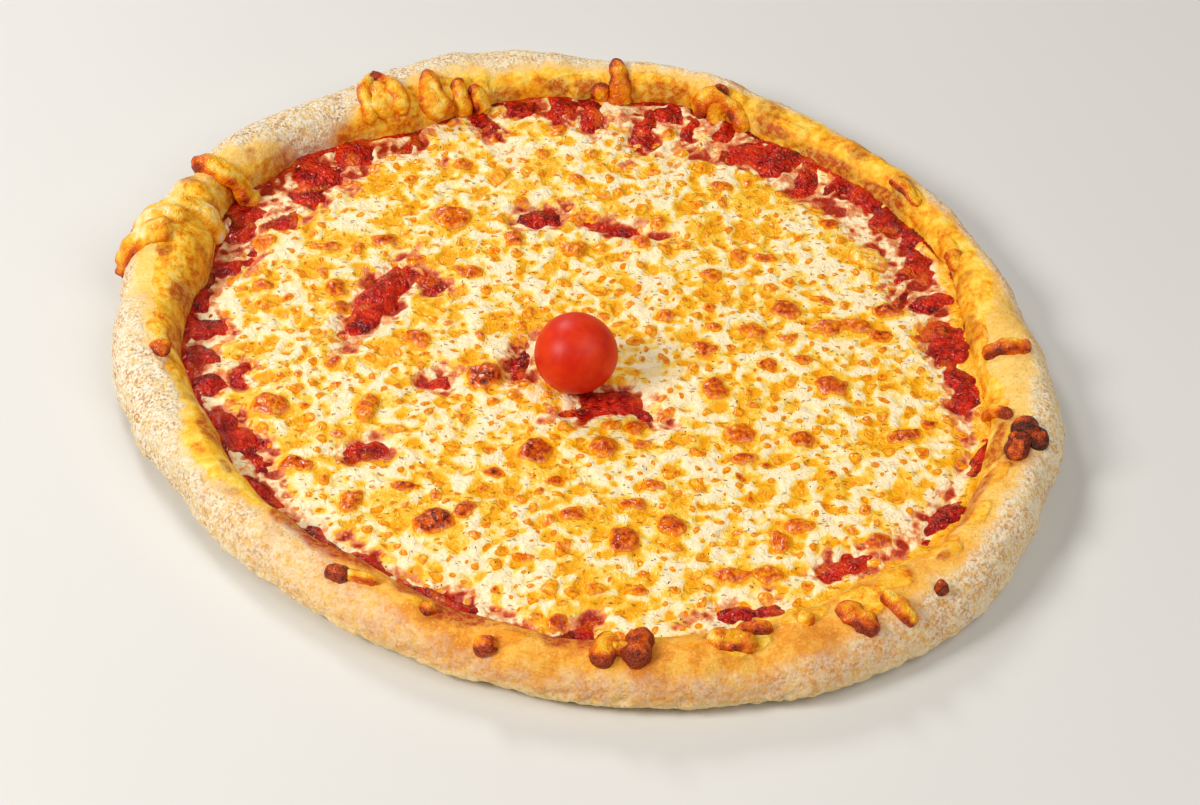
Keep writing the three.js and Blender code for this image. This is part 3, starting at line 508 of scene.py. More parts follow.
def lay_bubbles(rng):
    """The bubbles' height, the distance inside their edges, how brown they are, and the fat round them."""
    rise = np.zeros_like(CANVAS_X)
    inside = np.full_like(CANVAS_X, -1.5)
    crusting = np.zeros_like(CANVAS_X)
    halo = np.zeros_like(CANVAS_X)
    bubbles = list(BUBBLES)
    taken = [(x, y, max(length, width)) for x, y, length, width, *_ in bubbles + SAUCE_PATCHES]
    taken.append((TOMATO_X, TOMATO_Y, 8))
    for _ in range(4600):
        angle = rng.uniform(0, TURN)
        radius = math.sqrt(rng.uniform(0, 1)) * (float(cheese_radius(angle)) + 2)
        x = radius * math.cos(math.radians(angle))
        y = radius * math.sin(math.radians(angle))
        length = 0.8 + 1.9 * rng.uniform(0, 1) ** 1.8
        if all(math.hypot(x - tx, y - ty) > tl * 0.9 + length + 1.1 for tx, ty, tl in taken):
            taken.append((x, y, length))
            bubbles.append((x, y, length, length * rng.uniform(0.6, 0.95), rng.uniform(0, 180),
                            rng.uniform(0.42, 0.64)))
    for x, y, length, width, turn, brown in bubbles:
        size = (length + width) / 2
        stamp(rise, x, y, length * 1.5 + 2, turn, lambda u, v: (
            min(0.42 * size, 2.2) * np.clip(1 - (u / length) ** 2 - (v / width) ** 2, 0, 1) ** 0.5))
        stamp(inside, x, y, length * 1.6 + 3, turn, lambda u, v: (
            np.clip((1 - np.hypot(u / length, v / width)) * size, -1.5, 1.5)))
        stamp(crusting, x, y, length * 1.7 + 3, turn, lambda u, v: (
            brown * smooth(1 + 1.6 / size, 1 + 0.9 / size, np.hypot(u / length, v / width))))
        stamp(halo, x, y, length * 2.6 + 4, turn, lambda u, v: (
            min(0.4 + size * 0.12, 1) * np.exp(-(np.maximum(np.hypot(u / length, v / width) - 0.9, 0)
                                                 * (0.5 + 0.2 * size)) ** 2)))
    return rise, inside, crusting, halo


def new_mesh_object(name, x, y, z, faces):
    mesh = bpy.data.meshes.new(name)
    places = np.stack([x, y, z], 1) * MM
    mesh.from_pydata(places.tolist(), [], faces)
    mesh.update()
    piece = bpy.data.objects.new(name, mesh)
    bpy.context.scene.collection.objects.link(piece)
    return piece


def only(piece):
    """Selects one object and makes it active."""
    for each in bpy.context.view_layer.objects:
        each.select_set(False)
    piece.select_set(True)
    bpy.context.view_layer.objects.active = piece


def grid_piece(name, columns, rows):
    """A flat grid of a known order: vertex number = row * (columns + 1) + column."""
    bpy.ops.object.select_all(action="DESELECT")
    bpy.ops.mesh.primitive_grid_add(x_subdivisions=columns, y_subdivisions=rows, size=2)
    piece = bpy.context.object
    piece.name = piece.data.name = name
    return piece


def place_vertices(piece, x, y, z):
    places = np.stack([np.ravel(x), np.ravel(y), np.ravel(z)], 1).astype(np.float32) * MM
    piece.data.vertices.foreach_set("co", places.ravel())
    piece.data.update()


def places_of(piece):
    places = np.empty(len(piece.data.vertices) * 3, np.float32)
    piece.data.vertices.foreach_get("co", places)
    return (places.reshape(-1, 3) / MM).T.astype(float)


def paint(piece, name, values):
    """Stores a value for each vertex, which the piece's material reads."""
    layer = piece.data.attributes.new(name, "FLOAT", "POINT")
    layer.data.foreach_set("value", np.clip(np.ravel(values), 0, 1).astype(np.float32))


def close_and_turn_out(piece, weld=0.00001):
    only(piece)
    bpy.ops.object.mode_set(mode="EDIT")
    bpy.ops.mesh.select_all(action="SELECT")
    bpy.ops.mesh.remove_doubles(threshold=weld)
    bpy.ops.mesh.normals_make_consistent(inside=False)
    bpy.ops.object.mode_set(mode="OBJECT")
    bpy.ops.object.shade_smooth()


def finish_piece(piece, material, slot, *nodes):
    piece.data.materials.clear()
    piece.data.materials.append(material)
    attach(piece, "root")
    if nodes:
        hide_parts(*nodes)


def colour(red, green, blue):
    """A linear colour from the 0 to 255 values of a screen."""
    parts = [v / 255 for v in (red, green, blue)]
    return tuple(p / 12.92 if p <= 0.04045 else ((p + 0.055) / 1.055) ** 2.4 for p in parts) + (1.0,)


class Finish:
    """A material with a few short ways to add its nodes."""

    def __init__(self, name, tree=None):
        if tree is None:
            self.material = bpy.data.materials.new(name)
            self.material.use_nodes = True
            tree = self.material.node_tree
            self.shader = tree.nodes["Principled BSDF"]
        self.tree = tree

    def node(self, kind, **settings):
        made = self.tree.nodes.new(kind)
        for key, value in settings.items():
            setattr(made, key, value)
        return made

    def feed(self, socket, value):
        if hasattr(value, "is_output"):
            self.tree.links.new(value, socket)
        else:
            socket.default_value = value

    def place(self):
        return self.node("ShaderNodeTexCoord").outputs["Object"]

    def painted(self, name):
        return self.node("ShaderNodeAttribute", attribute_name=name).outputs["Fac"]

    def maths(self, operation, first, second=0.0, clamp=False):
        made = self.node("ShaderNodeMath", operation=operation, use_clamp=clamp)
        self.feed(made.inputs[0], first)
        self.feed(made.inputs[1], second)
        return made.outputs[0]

    def noise(self, where, size, detail=3.0, rough=0.55, distortion=0.0):
        made = self.node("ShaderNodeTexNoise")
        self.feed(made.inputs["Vector"], where)
        made.inputs["Scale"].default_value = 1 / (size * MM)
        made.inputs["Detail"].default_value = detail
        made.inputs["Roughness"].default_value = rough
        made.inputs["Distortion"].default_value = distortion
        return made.outputs["Fac"]

    def cells(self, where, size, feature="F1"):
        made = self.node("ShaderNodeTexVoronoi", feature=feature)
        self.feed(made.inputs["Vector"], where)
        made.inputs["Scale"].default_value = 1 / (size * MM)
        return made.outputs["Distance"]

    def span(self, value, low, high, to_low=0.0, to_high=1.0):
        made = self.node("ShaderNodeMapRange", interpolation_type="SMOOTHSTEP")
        self.feed(made.inputs["Value"], value)
        for key, number in zip(("From Min", "From Max", "To Min", "To Max"), (low, high, to_low, to_high)):
            self.feed(made.inputs[key], number)
        return made.outputs["Result"]

    def mix(self, share, first, second, blend="MIX"):
        made = self.node("ShaderNodeMix", data_type="RGBA", blend_type=blend)
        self.feed(made.inputs["Factor"], share)
        self.feed(made.inputs[6], first)
        self.feed(made.inputs[7], second)
        return made.outputs[2]

    def ramp(self, value, stops):
        made = self.node("ShaderNodeValToRGB")
        self.feed(made.inputs["Fac"], value)
        elements = made.color_ramp.elements
        while len(elements) < len(stops):
            elements.new(0.5)
        for element, (position, shade) in zip(elements, stops):
            element.position = position
            element.color = shade
        return made.outputs["Color"]

    def bump(self, height, distance, strength=1.0, normal=None):
        made = self.node("ShaderNodeBump")
        self.feed(made.inputs["Height"], height)
        made.inputs["Distance"].default_value = distance * MM
        made.inputs["Strength"].default_value = strength
        if normal is not None:
            self.feed(made.inputs["Normal"], normal)
        return made.outputs["Normal"]

    def group(self, tree, **values):
        made = self.node("ShaderNodeGroup", node_tree=tree)
        for key, value in values.items():
            self.feed(made.inputs[key.replace("_", " ")], value)
        return made.outputs


def new_group(name, inputs, outputs):
    """An empty node group with named sockets, its input node's sockets, and a way to set its outputs."""
    tree = bpy.data.node_groups.new(name, "ShaderNodeTree")
    for socket, kind, start in inputs:
        made = tree.interface.new_socket(name=socket, in_out="INPUT", socket_type=kind)
        if start is not None:
            made.default_value = start
    for socket, kind in outputs:
        tree.interface.new_socket(name=socket, in_out="OUTPUT", socket_type=kind)
    entry = tree.nodes.new("NodeGroupInput")
    leave = tree.nodes.new("NodeGroupOutput")
    return tree, entry.outputs, leave.inputs


def build_baked_tone():
    """Cheese colour by how long it has browned, from cream through gold and orange to almost black."""
    tree, given, result = new_group(
        "baked cheese tone", [("Browning", "NodeSocketFloat", 0.0)], [("Color", "NodeSocketColor")])
    inside = Finish("", tree)
    shade = inside.ramp(given["Browning"], [
        (0.0, colour(254, 233, 190)),
        (0.12, colour(253, 221, 142)),
        (0.24, colour(252, 202, 72)),
        (0.36, colour(249, 176, 20)),
        (0.48, colour(238, 142, 4)),
        (0.62, colour(222, 98, 2)),
        (0.78, colour(188, 64, 2)),
        (0.9, colour(124, 38, 4)),
        (1.0, colour(52, 18, 8)),
    ])
    inside.feed(result["Color"], shade)
    return tree


def build_mottle():
    """Two sizes of soft blotches, as a mask."""
    tree, given, result = new_group(
        "mottle", [("Vector", "NodeSocketVector", None), ("Size", "NodeSocketFloat", 6.0)],
        [("Mask", "NodeSocketFloat")])
    inside = Finish("", tree)
    scale = inside.maths("DIVIDE", 1000.0, given["Size"])
    large = inside.node("ShaderNodeTexNoise")
    small = inside.node("ShaderNodeTexNoise")
    for made, factor in ((large, 1.0), (small, 3.1)):
        inside.feed(made.inputs["Vector"], given["Vector"])
        inside.feed(made.inputs["Scale"], inside.maths("MULTIPLY", scale, factor))
        made.inputs["Detail"].default_value = 3.0
    both = inside.maths("ADD", inside.maths("MULTIPLY", large.outputs["Fac"], 0.65),
                        inside.maths("MULTIPLY", small.outputs["Fac"], 0.35))
    inside.feed(result["Mask"], inside.span(both, 0.34, 0.66))
    return tree


def build_crumb_relief():
    """Fine height of a floury or blistered surface."""
    tree, given, result = new_group(
        "crumb relief", [("Vector", "NodeSocketVector", None), ("Size", "NodeSocketFloat", 1.0)],
        [("Height", "NodeSocketFloat")])
    inside = Finish("", tree)
    scale = inside.maths("DIVIDE", 1000.0, given["Size"])
    grainy = inside.node("ShaderNodeTexNoise")
    inside.feed(grainy.inputs["Vector"], given["Vector"])
    inside.feed(grainy.inputs["Scale"], scale)
    grainy.inputs["Detail"].default_value = 5.0
    grainy.inputs["Roughness"].default_value = 0.7
    pits = inside.node("ShaderNodeTexVoronoi")
    inside.feed(pits.inputs["Vector"], given["Vector"])
    inside.feed(pits.inputs["Scale"], inside.maths("MULTIPLY", scale, 0.8))
    pit = inside.span(pits.outputs["Distance"], 0.0, 0.5)
    both = inside.maths("ADD", inside.maths("MULTIPLY", grainy.outputs["Fac"], 0.7),
                        inside.maths("MULTIPLY", pit, 0.3))
    inside.feed(result["Height"], both)
    return tree


def build_slits():
    """Short slits and pores where steam broke through the cheese, as a mask; the cheese darkens them with
    painted shade in the openings plus the brown of fat at their edges.
    """
    tree, given, result = new_group(
        "slits", [("Vector", "NodeSocketVector", None)], [("Mask", "NodeSocketFloat")])
    inside = Finish("", tree)
    bent = inside.node("ShaderNodeTexNoise")
    inside.feed(bent.inputs["Vector"], given["Vector"])
    bent.inputs["Scale"].default_value = 1 / (3.5 * MM)
    sway = inside.node("ShaderNodeVectorMath", operation="SCALE")
    inside.feed(sway.inputs[0], bent.outputs["Color"])
    sway.inputs["Scale"].default_value = 2.4 * MM
    moved = inside.node("ShaderNodeVectorMath", operation="ADD")
    inside.feed(moved.inputs[0], given["Vector"])
    inside.feed(moved.inputs[1], sway.outputs[0])
    total = 0.0
    for turn, size, width in ((8, 5.0, 0.15), (72, 6.6, 0.12), (156, 4.6, 0.14)):
        turned = inside.node("ShaderNodeMapping")
        inside.feed(turned.inputs["Vector"], moved.outputs[0])
        turned.inputs["Rotation"].default_value = (0, 0, math.radians(turn))
        turned.inputs["Scale"].default_value = (1.0, 2.8, 1.0)
        cell = inside.node("ShaderNodeTexVoronoi")
        inside.feed(cell.inputs["Vector"], turned.outputs[0])
        cell.inputs["Scale"].default_value = 1 / (size * MM)
        chosen = inside.node("ShaderNodeSeparateColor")
        inside.feed(chosen.inputs[0], cell.outputs["Color"])
        mark = inside.span(cell.outputs["Distance"], width * 1.35, width * 0.75)
        mark = inside.maths("MULTIPLY", mark, inside.span(chosen.outputs[0], 0.52, 0.6))
        total = inside.maths("MAXIMUM", mark, total)
    inside.feed(result["Mask"], total)
    return tree


BAKED_TONE = build_baked_tone()
SLITS = build_slits()
MOTTLE = build_mottle()
CRUMB_RELIEF = build_crumb_relief()


def make_dough_material():
    finish = Finish("baked dough")
    where = finish.place()
    patchy = finish.group(MOTTLE, Vector=where, Size=9.0)["Mask"]
    fine = finish.group(MOTTLE, Vector=where, Size=2.2)["Mask"]
    speckle = finish.noise(where, 0.9, 4, 0.7)
    toast = finish.maths("MULTIPLY", finish.painted("toast"), finish.span(patchy, 0, 1, 0.45, 1.0))
    toast = finish.maths("ADD", toast, finish.maths("MULTIPLY", fine, 0.12), clamp=True)
    base = finish.ramp(toast, [
        (0.0, colour(253, 219, 136)), (0.3, colour(248, 192, 84)), (0.6, colour(242, 162, 50)),
        (1.0, colour(208, 112, 24))])
    basted = finish.maths("ADD", finish.painted("basted"), finish.maths("MULTIPLY", fine, 0.4))
    basted = finish.span(basted, 0.45, 0.85)
    oiled = finish.ramp(finish.maths("ADD", finish.maths("MULTIPLY", patchy, 0.6),
                                     finish.maths("MULTIPLY", fine, 0.4)), [
        (0.0, colour(255, 230, 128)), (0.45, colour(254, 202, 58)), (0.8, colour(247, 162, 18)),
        (1.0, colour(222, 110, 6))])
    tone = finish.mix(basted, base, oiled)
    grit = finish.noise(where, 0.8, 3, 0.7)
    dry = finish.maths("SUBTRACT", 1.0, basted)
    half_dry = finish.maths("MULTIPLY", dry, 0.5)
    tone = finish.mix(finish.maths("MULTIPLY", finish.span(grit, 0.54, 0.66), half_dry),
                      tone, colour(206, 126, 54))
    tone = finish.mix(finish.maths("MULTIPLY", finish.span(grit, 0.44, 0.34), half_dry),
                      tone, colour(255, 218, 140))
    melted = finish.ramp(finish.maths("ADD", finish.maths("MULTIPLY", patchy, 0.4),
                                      finish.maths("MULTIPLY", fine, 0.6)), [
        (0.0, colour(254, 224, 122)), (0.4, colour(252, 194, 44)), (0.75, colour(243, 148, 12)),
        (1.0, colour(204, 92, 6))])
    film = finish.maths("ADD", finish.painted("film"), finish.maths("MULTIPLY", fine, 0.3))
    film = finish.span(film, 0.45, 0.85)
    edge = finish.maths("MULTIPLY", film, finish.maths("SUBTRACT", 1.6, finish.maths("MULTIPLY", film, 1.6)))
    tone = finish.mix(film, tone, melted)
    tone = finish.mix(edge, tone, colour(226, 130, 22))
    scorch = finish.maths("MULTIPLY", finish.painted("scorch"),
                          finish.span(fine, 0, 1, 0.6, 1.15), clamp=True)
    tone = finish.mix(scorch, tone, colour(168, 70, 10))
    stain = finish.maths("MULTIPLY", finish.painted("stain"),
                         finish.span(fine, 0.1, 0.9, 0.55, 1.0), clamp=True)
    tone = finish.mix(stain, tone, colour(176, 50, 20))
    flour = finish.painted("flour")
    dusting = finish.maths("ADD", finish.maths("MULTIPLY", speckle, 0.7), finish.maths("MULTIPLY", fine, 0.3))
    dust = finish.maths("MULTIPLY", flour, finish.span(dusting, 0.36, 0.56, 0.25, 1.0), clamp=True)
    tone = finish.mix(dust, tone, colour(255, 244, 217))
    dot = finish.maths("MULTIPLY", finish.span(finish.noise(where, 1.05, 3, 0.6), 0.5, 0.58), flour)
    dot = finish.maths("MULTIPLY", dot, finish.span(patchy, 0.1, 0.9, 0.25, 0.8))
    tone = finish.mix(dot, tone, colour(194, 124, 62))
    finish.feed(finish.shader.inputs["Base Color"], tone)
    rough = finish.span(finish.maths("MAXIMUM", basted, film), 0.2, 1.0, 0.82, 0.38)
    rough = finish.maths("MAXIMUM", rough, finish.maths("MULTIPLY", dust, 0.9))
    finish.feed(finish.shader.inputs["Roughness"], rough)
    crumb = finish.group(CRUMB_RELIEF, Vector=where, Size=1.1)["Height"]
    depth = finish.span(flour, 0.0, 1.0, 0.4, 1.3)
    height = finish.maths("MULTIPLY", crumb, depth)
    height = finish.maths("ADD", height, finish.maths("MULTIPLY", finish.painted("film"), 0.9))
    normal = finish.bump(height, 0.9, 1.0)
    finish.feed(finish.shader.inputs["Normal"], normal)
    finish.shader.inputs["Specular IOR Level"].default_value = 0.18
    return finish.material


def make_sauce_material():
    finish = Finish("tomato sauce")
    where = finish.place()
    patchy = finish.group(MOTTLE, Vector=where, Size=5.0)["Mask"]
    pulp = finish.noise(where, 1.3, 4, 0.6)
    tone = finish.ramp(finish.maths("ADD", finish.maths("MULTIPLY", patchy, 0.55),
                                    finish.maths("MULTIPLY", pulp, 0.45)), [
        (0.2, colour(104, 2, 0)), (0.45, colour(176, 16, 2)), (0.72, colour(216, 42, 6)),
        (1.0, colour(238, 90, 18))])
    tone = finish.mix(finish.painted("oily"), tone, colour(222, 92, 12))
    finish.feed(finish.shader.inputs["Base Color"], tone)
    finish.feed(finish.shader.inputs["Roughness"], finish.span(pulp, 0.3, 0.7, 0.08, 0.2))
    height = finish.noise(where, 1.8, 1, 0.5, 0.9)
    finish.feed(finish.shader.inputs["Normal"], finish.bump(height, 1.8, 1.0))
    finish.shader.inputs["Specular IOR Level"].default_value = 0.32
    return finish.material


def make_cheese_material():
    finish = Finish("melted cheese")
    where = finish.place()
    wander = finish.maths("SUBTRACT", finish.noise(where, 1.6, 3, 0.6), 0.5)
    fleck = finish.maths("SUBTRACT", finish.noise(where, 0.6, 3, 0.7), 0.5)
    gap = finish.maths("ADD", finish.painted("shred"), finish.maths("MULTIPLY", wander, 0.3))
    gap = finish.span(gap, 0.78, 0.18)
    pool = finish.maths("ADD", finish.painted("gold"), finish.maths("MULTIPLY", wander, 0.45))
    pool = finish.maths("ADD", pool, finish.maths("MULTIPLY", gap, 0.35))
    soaked = finish.span(pool, 0.3, 1.0)
    browning = finish.maths("ADD", finish.maths("MULTIPLY", soaked, 0.33),
                            finish.maths("MULTIPLY", gap, 0.07))
    browning = finish.maths("ADD", browning, finish.maths("MULTIPLY", wander, 0.16), clamp=True)
    bubble = finish.maths("ADD", finish.painted("bubble"), finish.maths("MULTIPLY", wander, 0.14))
    inside = finish.span(bubble, 0.46, 0.54)
    deep = finish.span(bubble, 0.5, 0.95)
    crusting = finish.maths("SUBTRACT", finish.painted("crusting"), 0.44)
    uneven = finish.maths("ADD", finish.maths("MULTIPLY", fleck, 0.3), finish.maths("MULTIPLY", wander, 0.9))
    ring = finish.span(bubble, 0.7, 0.54, 0, 0.12)
    toned = finish.maths("MULTIPLY", deep, finish.maths("ADD", crusting, uneven))
    toned = finish.maths("ADD", finish.maths("ADD", toned, ring), finish.maths("MULTIPLY", wander, 0.3))
    toned = finish.maths("ADD", toned, 0.4)
    step = finish.maths("MULTIPLY", inside, finish.maths("SUBTRACT", toned, browning))
    tone = finish.group(BAKED_TONE, Browning=finish.maths("ADD", browning, step, clamp=True))["Color"]
    thin = finish.maths("MULTIPLY", finish.painted("thin"), finish.span(gap, 0, 1, 0.4, 1.0))
    thin = finish.maths("MULTIPLY", thin, finish.span(inside, 0, 1, 1.0, 0.3))
    blotch = finish.maths("SUBTRACT", finish.noise(where, 4.5, 2, 0.5), 0.5)
    blotch = finish.maths("MULTIPLY", blotch, finish.span(finish.painted("thin"), 0, 0.5, 0, 1.3))
    thin = finish.maths("ADD", thin, blotch)
    tint = finish.span(finish.maths("ADD", thin, finish.maths("MULTIPLY", wander, 0.7)), 0.1, 1.0)
    pink = finish.ramp(tint, [
        (0.0, colour(250, 216, 174)), (0.35, colour(234, 166, 120)), (0.7, colour(206, 92, 48)),
        (1.0, colour(166, 38, 12))])
    tone = finish.mix(finish.span(tint, 0.02, 0.3), tone, finish.mix(0.8, pink, tone, "MULTIPLY"))
    tone = finish.mix(finish.span(tint, 0.15, 0.8), tone, pink)
    # The slits and pores are painted dark: partly painted shade inside the openings, partly browned fat at
    # their edges. The same mask dents the relief further down.
    slit = finish.maths("MULTIPLY", finish.group(SLITS, Vector=where)["Mask"], finish.span(inside, 1, 0))
    tone = finish.mix(finish.maths("MULTIPLY", slit, 0.58), tone, colour(142, 70, 18))
    finish.feed(finish.shader.inputs["Base Color"], tone)
    rough = finish.span(soaked, 0, 1, 0.36, 0.22)
    finish.feed(finish.shader.inputs["Roughness"], finish.span(inside, 0, 1, rough, 0.12))
    fine = finish.group(CRUMB_RELIEF, Vector=where, Size=1.2)["Height"]
    relief = finish.maths("MULTIPLY", fine, finish.span(inside, 0, 1, 0.1, 0.14))
    lumps = finish.maths("MULTIPLY", finish.noise(where, 1.9, 1, 0.5, 1.2),
                         finish.span(inside, 0, 1, 1.0, 0.6))
    relief = finish.maths("ADD", relief, lumps)
    relief = finish.maths("SUBTRACT", relief, finish.maths("MULTIPLY", slit, 0.35))
    finish.feed(finish.shader.inputs["Normal"], finish.bump(relief, 0.75, 1.0))
    finish.feed(finish.shader.inputs["Specular IOR Level"], finish.span(inside, 0, 1, 0.24, 0.42))
    return finish.material


def make_baked_cheese_material():
    finish = Finish("baked cheese")
    where = finish.place()
    browning = finish.painted("browning")
    wander = finish.maths("SUBTRACT", finish.noise(where, 1.6, 3, 0.6), 0.5)
    fleck = finish.maths("SUBTRACT", finish.noise(where, 0.5, 3, 0.7), 0.5)
    grainy = finish.maths("MULTIPLY", fleck, finish.span(browning, 0.35, 0.7, 0.15, 0.7))
    uneven = finish.maths("ADD", finish.maths("MULTIPLY", wander, 0.4), grainy)
    total = finish.maths("ADD", browning, uneven, clamp=True)
    finish.feed(finish.shader.inputs["Base Color"], finish.group(BAKED_TONE, Browning=total)["Color"])
    burnt = finish.span(browning, 0.72, 0.92)
    finish.feed(finish.shader.inputs["Roughness"], finish.span(burnt, 0, 1, 0.2, 0.5))
    crumb = finish.maths("MULTIPLY", finish.noise(where, 0.7, 2, 0.6), finish.span(burnt, 0, 1, 0.1, 1.0))
    height = finish.maths("ADD", finish.noise(where, 1.5, 2, 0.5, 0.8), crumb)
    finish.feed(finish.shader.inputs["Normal"], finish.bump(height, 0.9, 1.0))
    finish.shader.inputs["Specular IOR Level"].default_value = 0.34
    return finish.material


def make_tomato_material():
    finish = Finish("tomato skin")
    where = finish.place()
    patchy = finish.group(MOTTLE, Vector=where, Size=9.0)["Mask"]
    speck = finish.span(finish.cells(where, 1.3), 0.12, 0.05)
    tone = finish.mix(patchy, colour(206, 32, 4), colour(224, 56, 6))
    tone = finish.mix(finish.maths("MULTIPLY", speck, 0.25), tone, colour(244, 128, 50))
    finish.feed(finish.shader.inputs["Base Color"], tone)
    finish.shader.inputs["Roughness"].default_value = 0.42
    finish.shader.inputs["Specular IOR Level"].default_value = 0.27
    finish.feed(finish.shader.inputs["Normal"], finish.bump(finish.noise(where, 3, 2), 0.15, 0.3))
    return finish.material


def make_herb_material():
    finish = Finish("dried herbs")
    shade = finish.ramp(finish.noise(finish.place(), 3.0, 1), [
        (0.35, colour(70, 44, 10)), (0.5, colour(104, 88, 24)), (0.65, colour(110, 48, 10))])
    finish.feed(finish.shader.inputs["Base Color"], shade)
    finish.shader.inputs["Roughness"].default_value = 0.9
    finish.shader.inputs["Specular IOR Level"].default_value = 0.1
    return finish.material


def make_crust():
    """The dough: a grid wrapped round its section, from the middle of the underside over the rim."""
    columns = 920
    rim_turns = np.linspace(-80, 180, 76)
    under = np.linspace(0, 1, 5)[:-1]
    inside = np.linspace(1, 0, 5)
    rows = len(under) + len(rim_turns) + len(inside)
    piece = grid_piece("crust_piece", columns, rows - 1)
    angle = np.linspace(0, TURN, columns + 1)[None, :]
    radius, height = rim_point(angle, rim_turns[:, None])
    c = np.cos(np.radians(rim_turns))[:, None]
    s = np.sin(np.radians(rim_turns))[:, None]
    x0 = radius * np.cos(np.radians(angle))
    y0 = radius * np.sin(np.radians(angle))
    swell = (1.1 * grain(x0, y0, height, 17, 31) + 0.5 * grain(x0, y0, height, 7, 32)
             + 0.2 * grain(x0, y0, height, 3, 33) + 0.1 * grain(x0, y0, height, 1.5, 34))
    keep = smooth(-76, -30, rim_turns[:, None]) * (1 - smooth(160, 180, rim_turns[:, None]))
    rough = 0.6 * grain(x0, y0, height, 2.4, 35) + 0.35 * grain(x0, y0, height, 1.3, 36)
    rough = rough * smooth(-74, -52, rim_turns[:, None]) * smooth(22, -8, rim_turns[:, None])
    dusty = smooth(-2, 2, radius - around(FLOUR_RADIUS, angle)) * keep
    swell = swell + (0.2 * grain(x0, y0, height, 1.6, 37) + 0.12 * grain(x0, y0, height, 1.1, 38)) * dusty
    radius = radius + swell * c * keep + rough
    height = height + swell * np.maximum(s, -0.2) * keep
    foot = radius[0]
    top_edge = radius[-1] - 3.5
    radius = np.concatenate([under[:, None] * foot[None, :], radius, inside[:, None] * top_edge[None, :]])
    height = np.concatenate([np.zeros((len(under), columns + 1)), height,
                             np.full((len(inside), columns + 1), float(BASE_THICKNESS))])
    height[len(under)] = 0
    swell_up = np.zeros_like(height)
    for where, out, length, width, rise in RIM_LUMPS:
        aside = ((angle - where + 180) % TURN - 180) * math.radians(1) * out
        swell_up += rise * np.exp(-((radius - out) / length) ** 2 - (aside / width) ** 2)
    height += swell_up * smooth(6, 10, height)
    height[:, -1] = height[:, 0]
    radius[:, -1] = radius[:, 0]
    turn = np.radians(np.broadcast_to(angle, radius.shape))
    place_vertices(piece, radius * np.cos(turn), radius * np.sin(turn), height)
    close_and_turn_out(piece)
    x, y, z = places_of(piece)
    where = np.degrees(np.arctan2(y, x)) % TURN
    out = np.hypot(x, y)
    wander = 2.6 * grain(x, y, z, 9, 41) + 1.6 * grain(x, y, z, 3.5, 42) + 0.8 * grain(x, y, z, 1.5, 43)
    top = smooth(4, 8, z)
    basted = (1 - smooth(-1.2, 1.2, out + 0.7 * wander - around(BASTED_RADIUS, where))) * smooth(4.6, 7, z)
    flour = smooth(-2.6, 2.6, out + wander - around(FLOUR_RADIUS, where))
    side = smooth(9.5, 5.5, z + 0.7 * wander) * smooth(-8, -5, out - outer_radius(where))
    flour = np.maximum(flour, side) * around(SIDE_FLOUR, where)
    toast = around(TOAST, where) * top
    scorch = np.zeros_like(out)
    for sx, sy, size, strength in SCORCHES:
        away = np.hypot(x - sx, y - sy) / size + 0.14 * wander
        scorch = np.maximum(scorch, strength * (1 - smooth(0.35, 1.1, away)) * top)
    reach = out - inner_radius(where)
    stain = 0.7 * (1 - smooth(0.0, 1.8, reach + 0.8 * wander)) * smooth(3, 5, z)
    stain = stain * (1 - 0.9 * around(RIM_GOLD, where))
    for angle, radius, length, width, strength in SMEARS:
        aside = ((where - angle + 180) % TURN - 180) * math.radians(1) * radius
        smear = strength * smooth(1.3, 0.8, np.hypot(aside / length, (out - radius) / width) + 0.12 * wander)
        stain = np.maximum(stain, smear * smooth(3, 5, z))
    film = np.zeros_like(out)
    for angle, radius, length, width, strength in FILMS:
        aside = ((where - angle + 180) % TURN - 180) * math.radians(1) * radius
        spot = smooth(1.2, 0.75, np.hypot(aside / length, (out - radius) / width) + 0.14 * wander)
        film = np.maximum(film, strength * spot * smooth(4, 7, z))
    paint(piece, "basted", basted * (1 - 0.9 * flour))
    paint(piece, "flour", flour * (1 - scorch) * (z > 0.3))
    paint(piece, "toast", np.maximum(toast, 0.75 * (z < 0.3)))
    paint(piece, "scorch", scorch)
    paint(piece, "stain", stain)
    paint(piece, "film", film)
    finish_piece(piece, DOUGH, "baked_dough", "crust")
    return piece


def lay_sauce():
    """Height of the sauce over the canvas: pulpy, heaped in its clumps and patches, and climbing the rim."""
    lumpy = (0.5 * grain(CANVAS_X, CANVAS_Y, 0, 6, 51) + 0.45 * grain(CANVAS_X, CANVAS_Y, 0, 2.6, 52)
             + 0.25 * grain(CANVAS_X, CANVAS_Y, 0, 1.3, 53))
    heap = np.zeros_like(CANVAS_X)
    heaps = [(*place, 1.6) for place in clump_places()]
    heaps += [(x, y, length, width, turn, 0.6 + rise) for x, y, length, width, turn, rise in SAUCE_PATCHES]
    for x, y, length, width, turn, rise in heaps:
        stamp(heap, x, y, length * 1.6, turn, lambda u, v: (
            rise * np.sqrt(np.clip(1 - (u / length) ** 2 - (v / width) ** 2, 0, 1))))
    climb = 1.6 * smooth(-5, 1, CANVAS_RADIUS - inner_radius(CANVAS_ANGLE))
    return SAUCE_TOP + 0.5 + soften(heap, 0.8) + climb + lumpy


